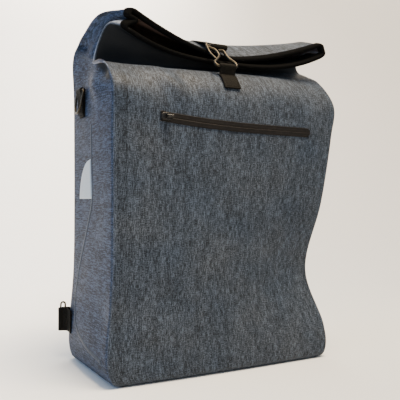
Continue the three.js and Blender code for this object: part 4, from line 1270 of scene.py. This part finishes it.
class BACKPACK_OT_rings(bpy.types.Operator):
    """Build the side rings, the lower eyes and their webbing tabs"""
    bl_idname = "backpack.rings"
    bl_label = "Rings and Tabs"

    def execute(self, context):
        for name, side in SIDES:
            self.upper(name, side)
            self.lower(name, side)
        return {"FINISHED"}

    def upper(self, name, side):
        _, trim, _ = scene_settings()
        size = UPPER_RING
        out = side * X_AXIS
        hinge = hinge_of(f"upper_ring_{name}")
        lean = math.radians(9)
        down = Vector((side * math.sin(lean), 0, -math.cos(lean)))
        points = [
            hinge + Y_AXIS * row["across"] * size["width"] / 2 + down * row["out"] * size["reach"] for row in RING]
        normal = Y_AXIS.cross(down).normalized()
        bm = wire_mesh(points, size["wire"] / 2, normal, closed=True, count=80, sides=14)
        put(bm, f"upper_ring_wire_{name}", f"upper_ring_{name}", [finish_of("metal")],
            [f"upper_ring_{name}"], crease=60)

        def tab_seat(share):
            """The tab's middle on the side, from its foot at 0 to the ring at 1"""
            z = size["z"] - size["tab_length"] * (1 - share)
            return band_seat(
                lambda y: SKIN.on_side(side, y, z), size["y"], size["tab_width"], out, webbing_lift(trim))

        radius = fold_radius(trim, size["wire"])
        top = 1 - 0.004 / size["tab_length"]
        under = [tab_seat(top * step / 3) for step in range(4)]
        angles = [math.pi * (1 - step / 8) for step in range(9)]
        fold = [hinge + out * radius * math.cos(angle) + Z_AXIS * radius * math.sin(angle) for angle in angles]
        layer = [tab_seat(share) + out * clear for share, clear in ((0.72, 0.0028), (0.55, 0.0022), (0.1, 0.0021))]
        webbing_piece(f"upper_tab_webbing_{name}", under + fold + layer, size["tab_width"], trim.webbing,
                      [f"upper_ring_tab_{name}"], across=Y_AXIS, count=90)

    def lower(self, name, side):
        """A webbing loop sewn round the back corner, with a narrow wire eye in it"""
        _, trim, _ = scene_settings()
        height, foot, reach, sewn = 0.031, 0.037, 0.0105, 0.018
        z = foot + height / 2
        x = SKIN.on_side(side, 0.08 - sewn, z)[0].x
        corner = Vector((x, SKIN.on_back(x - side * reach, z)[0].y, z))

        def clear(seat_at, centre, out):
            """The webbing's middle where it clears the cloth over its whole height"""
            spots = [seat_at(centre, z + k * height) for k in (-0.5, 0, 0.5)]
            best = max((point + normal * webbing_lift(trim) for point, normal in spots), key=lambda p: p.dot(out))
            return Vector((best.x, best.y, z))

        def on_side(y, at_height):
            return SKIN.on_side(side, y, at_height)

        start = [clear(on_side, corner.y - k * sewn, side * X_AXIS) for k in (1.3, 0.75)]
        free = [corner + Vector((side * row["out"], row["behind"], 0)) * reach for row in LOWER_TAB]
        end = [clear(SKIN.on_back, corner.x - side * k * reach, Y_AXIS) for k in (1, 1.6)]
        webbing_piece(f"lower_tab_webbing_{name}", start + free + end, height, trim.webbing,
                      [f"lower_eye_tab_{name}"], across=Z_AXIS, count=70)

        width, tall, wire, eye_foot = 0.0084, 0.038, 0.0025, 0.0385
        across, rise = (width - wire) / 2, (tall - width) / 2
        centre = Vector((corner.x + side * 0.00525, corner.y + 0.00305, eye_foot + tall / 2))
        points = []
        for sign in (1, -1):
            for k in range(9):
                angle = math.pi * k / 8
                offset = Vector((across * math.cos(angle), 0, rise + across * math.sin(angle)))
                points.append(centre + sign * offset)
        bm = wire_mesh(points, wire / 2, Y_AXIS, closed=True, count=80)
        put(bm, f"lower_eye_wire_{name}", ROOT, [finish_of("metal")],
            [f"lower_eye_{name}"], crease=60)


# The welded seam's path over the side, in shares of the depth and of the height
SEAM = table(("behind", "up"), (
    (0.465, 0.68), (0.465, 0.59), (0.47, 0.48), (0.6, 0.39), (0.79, 0.27), (0.83, 0.185), (0.76, 0.12),
    (0.45, 0.08), (0.1, 0.062),
))
PATCH = {"front": -0.002, "foot": 0.215, "reach": 0.051, "height": 0.049}
SEAM_WIDTH, SEAM_HEIGHT = 0.0055, 0.0008


class BACKPACK_OT_side_trim(bpy.types.Operator):
    """Lay the reflective patches and the welded seams on the sides"""
    bl_idname = "backpack.side_trim"
    bl_label = "Side Trims"

    def execute(self, context):
        for name, side in SIDES:
            self.patch(name, side)
            self.seam(name, side)
        return {"FINISHED"}

    def patch(self, name, side):
        """A quarter round of film, its edge pressed down"""
        def place(i, j):
            up = i / 24
            reach = max(PATCH["reach"] * math.sqrt(1 - up ** 2), 0.001)
            point, normal = SKIN.on_side(
                side, PATCH["front"] + reach * j / 12, PATCH["foot"] + up * PATCH["height"])
            edge = min(up, 1 - up, j / 12, 1 - j / 12)
            return point + normal * (0.0002 + 0.0004 * smooth(edge * 10))

        bm = mapped_grid(25, 13, False, False, place)
        piece = put(bm, f"reflector_film_{name}", ROOT, [finish_of("film")],
                    [f"side_reflector_{name}"])
        back_up(piece, side * X_AXIS, 0.0003)

    def seam(self, name, side):
        """A low welded ridge along its path"""
        shape, _, _ = scene_settings()
        route = even_path([
            Vector((0, (row["behind"] - 0.5) * shape.depth, row["up"] * shape.height)) for row in SEAM], 70)
        rises = (0.0, 0.4, 0.55, 0.4, 0.0)

        def place(i, j):
            before, after = route[max(i - 1, 0)], route[min(i + 1, len(route) - 1)]
            run = (after - before).normalized()
            spot = route[i] + Vector((0, -run.z, run.y)) * SEAM_WIDTH * (j / 4 - 0.5)
            point, normal = SKIN.on_side(side, spot.y, spot.z)
            return point + normal * (0.0001 + SEAM_HEIGHT * rises[j])

        bm = mapped_grid(len(route), len(rises), False, False, place, lambda i, j: (j * 0.0008, i * 0.005))
        piece = put(bm, f"seam_ridge_{name}", ROOT, [finish_of("seam")],
                    [f"side_seam_{name}"], crease=80)
        back_up(piece, side * X_AXIS, 0.0003)


# The pads hang from their top to their foot, this far off the middle of the back
PAD_TOP, PAD_FOOT, PAD_X = 0.384, 0.14, 0.052
TAIL_WIDTH = 0.022


class BACKPACK_OT_shoulder(bpy.types.Operator):
    """Build the padded shoulder straps on the back"""
    bl_idname = "backpack.shoulder"
    bl_label = "Shoulder Straps"

    def execute(self, context):
        for name, side in SIDES:
            self.pad(name, side)
            self.tail(name, side)
        return {"FINISHED"}

    def thickness_at(self, share):
        _, trim, _ = scene_settings()
        return trim.pad_thickness * lerp(0.55, 1, math.sin(math.pi * share))

    def pad_centre(self, side, share):
        """The pad bows off the back between its two seams"""
        _, trim, _ = scene_settings()
        z = lerp(PAD_TOP, PAD_FOOT, share)
        clear = 0.0006 + self.thickness_at(share) / 2 + 0.014 * math.sin(math.pi * share)
        return band_seat(lambda x: SKIN.on_back(x, z), side * PAD_X, trim.pad_width, Y_AXIS, clear)

    def pad(self, name, side):
        _, trim, _ = scene_settings()
        centres = [self.pad_centre(side, i / 60) for i in range(61)]
        half = trim.pad_width / 2
        outline = []
        for k in range(40):
            across, up = math.cos(math.tau * k / 40), math.sin(math.tau * k / 40)
            outline.append((
                math.copysign(abs(across) ** 0.45, across) * half,
                math.copysign(abs(up) ** 0.8, up) * trim.pad_thickness / 2))

        def scale(share):
            """Width and thickness along the pad, both drawn in over its last 12 mm"""
            end = min(share, 1 - share) * (PAD_TOP - PAD_FOOT)
            tip = math.sqrt(clamp(1 - (1 - clamp(end / 0.012)) ** 2))
            thickness = self.thickness_at(share) / trim.pad_thickness
            return (1 - 0.4 * share ** 2) * lerp(0.72, 1, tip), thickness * lerp(0.5, 1, tip)

        bm = swept(centres, outline, X_AXIS, scale_of=scale)
        piece = put(bm, f"shoulder_pad_foam_{name}", ROOT, [finish_of("mesh")],
                    [f"shoulder_pad_{name}"], crease=70)
        edges = []
        for edge in (-1, 1):
            path = [centres[i] + X_AXIS * edge * half * scale(i / 60)[0] for i in range(2, 59)]
            edges.append(swept(even_path(path, 70), round_outline(0.0016, 8), X_AXIS))
        put(joined(edges), f"shoulder_pad_binding_{name}", ROOT, [finish_of("binding")], crease=60)

    def tail(self, name, side):
        """Webbing from under the pad's foot down to the base"""
        _, trim, _ = scene_settings()
        path = []
        for i in range(17):
            share = i / 16
            point, normal = SKIN.on_back(side * (PAD_X + 0.03 * share), lerp(0.146, 0.046, share))
            under_pad = 0.0006 + self.thickness_at(1) / 2
            path.append(point + normal * lerp(under_pad, webbing_lift(trim), min(3 * share, 1)))
        webbing_piece(f"shoulder_tail_webbing_{name}", path, TAIL_WIDTH, trim.webbing,
                      [f"shoulder_tail_{name}"], count=40)


class BACKPACK_OT_stage(bpy.types.Operator):
    """Set the floor, backdrop, lights and camera"""
    bl_idname = "backpack.stage"
    bl_label = "Stage"

    def execute(self, context):
        self.camera(context)
        self.backdrop()
        self.lights(context)
        return {"FINISHED"}

    def camera(self, context):
        """Level with the bag's middle, in front of it and to its left"""
        data = bpy.data.cameras.new("Camera")
        data.lens = 53.46
        data.sensor_width = 36
        camera = bpy.data.objects.new("Camera", data)
        forward = Vector((0.460, 0.888, 0)).normalized()
        right = forward.cross(Z_AXIS)
        turn = Matrix((right, Z_AXIS, -forward)).transposed().to_4x4()
        camera.matrix_world = Matrix.Translation((-0.373, -0.716, 0.2135)) @ turn
        context.scene.collection.objects.link(camera)
        context.scene.camera = camera

    def paper(self):
        """Off-white paper with painted light: lighter towards the left of the view, where the window is, and
        lighter and warmer up the wall
        """
        material, tree, shader = new_material("Seamless paper")
        place = object_place(tree)
        # Painted light: the paper is made lighter towards the window on the left of the view, and lighter and
        # warmer up the wall
        sideways = node(
            tree, "ShaderNodeVectorMath", {0: place, 1: (0.888, -0.46, 0)}, operation="DOT_PRODUCT",
        ).outputs["Value"]
        height = ramped(
            tree, component(tree, place, "Z"), (0.0, (0.72, 0.73, 0.73)), (0.12, (0.74, 0.735, 0.715)),
            (0.55, (0.8, 0.775, 0.735)), (1.0, (0.82, 0.79, 0.74)))
        feed(tree, shader, {
            "Base Color": mixed(tree, 1.0, height, ranged(tree, sideways, -0.35, 0.25, 1.17, 0.77), "MULTIPLY"),
            "Roughness": 0.85,
            "Specular IOR Level": 0.2,
        })
        return material

    def backdrop(self):
        """A floor that curves up into a wall behind the bag, square to the view"""
        bm = bmesh.new()
        bmesh.ops.create_grid(bm, x_segments=1, y_segments=1, size=3.0)
        far = [e for e in bm.edges if all(v.co.y > 2.9 for v in e.verts)]
        for v in bm.verts:
            if v.co.y > 2.9:
                v.co.y = 1.5
        grown = bmesh.ops.extrude_edge_only(bm, edges=far)["geom"]
        bmesh.ops.translate(bm, vec=(0, 0, 3.0), verts=verts_in(grown))
        bmesh.ops.bevel(bm, geom=far, offset=0.9, affect="EDGES", segments=16, profile=0.5, material=-1)
        bmesh.ops.rotate(bm, cent=(0, 0, 0), matrix=Matrix.Rotation(math.radians(-27.5), 3, "Z"), verts=bm.verts)
        sharpen(bm, 60)
        mesh = bpy.data.meshes.new("backdrop")
        bm.to_mesh(mesh)
        bm.free()
        mesh.materials.append(self.paper())
        floor = bpy.data.objects.new("backdrop", mesh)
        bpy.context.scene.collection.objects.link(floor)

    def lights(self, context):
        """A cool window from the left, a warm ceiling and a wash on the wall behind"""
        world = bpy.data.worlds.new("Studio")
        world.use_nodes = True
        background = world.node_tree.nodes["Background"]
        feed(world.node_tree, background, {"Color": (0.86, 0.93, 1.0, 1), "Strength": 0.88})
        context.scene.world = world
        rows = table(("name", "place", "target", "size", "power", "colour"), (
            ("Window", (-2.2, -0.1, 0.9), (0, 0, 0.2), 1.4, 22, (0.2, 0.48, 1.0)),
            ("Ceiling", (0.2, -0.55, 2.1), (0, 0.1, 0.2), 1.0, 145, (1.0, 0.8, 0.55)),
            ("Wash", (0.1, 1.15, 1.5), (-0.4, 1.9, 0.5), 0.8, 34, (1.0, 0.95, 0.88)),
        ))
        for row in rows:
            data = bpy.data.lights.new(row["name"], "AREA")
            data.shape = "SQUARE"
            data.size = row["size"]
            data.energy = row["power"]
            data.color = row["colour"]
            lamp = bpy.data.objects.new(row["name"], data)
            aim = Vector(row["target"]) - Vector(row["place"])
            turn = aim.to_track_quat("-Z", "Y").to_matrix().to_4x4()
            lamp.matrix_world = Matrix.Translation(row["place"]) @ turn
            context.scene.collection.objects.link(lamp)


OPERATORS = (
    BACKPACK_OT_stage, BACKPACK_OT_shell, BACKPACK_OT_binding, BACKPACK_OT_zip, BACKPACK_OT_closure,
    BACKPACK_OT_rings, BACKPACK_OT_side_trim, BACKPACK_OT_shoulder,
)


class BACKPACK_PT_panel(bpy.types.Panel):
    """Lists the bag's pieces and sizes"""
    bl_idname = "BACKPACK_PT_panel"
    bl_label = "Backpack"
    bl_space_type = "VIEW_3D"
    bl_region_type = "UI"
    bl_category = "Backpack"

    def draw(self, context):
        for group in scene_settings():
            box = self.layout.box()
            for name in group.__annotations__:
                box.prop(group, name)
        for operator in OPERATORS:
            self.layout.operator(operator.bl_idname)


GROUP_CLASSES = (BackpackShape, BackpackTrim, BackpackColours)


def register():
    for cls in (*GROUP_CLASSES, *OPERATORS, BACKPACK_PT_panel):
        bpy.utils.register_class(cls)
    bpy.types.Scene.backpack_shape = PointerProperty(type=BackpackShape)
    bpy.types.Scene.backpack_trim = PointerProperty(type=BackpackTrim)
    bpy.types.Scene.backpack_colours = PointerProperty(type=BackpackColours)


def unregister():
    for name in ("backpack_shape", "backpack_trim", "backpack_colours"):
        delattr(bpy.types.Scene, name)
    for cls in reversed((*GROUP_CLASSES, *OPERATORS, BACKPACK_PT_panel)):
        bpy.utils.unregister_class(cls)


def main():
    register()
    for name in ("stage", "shell", "binding", "zip", "closure", "rings", "side_trim", "shoulder"):
        getattr(bpy.ops.backpack, name)()


if __name__ == "__main__":
    main()
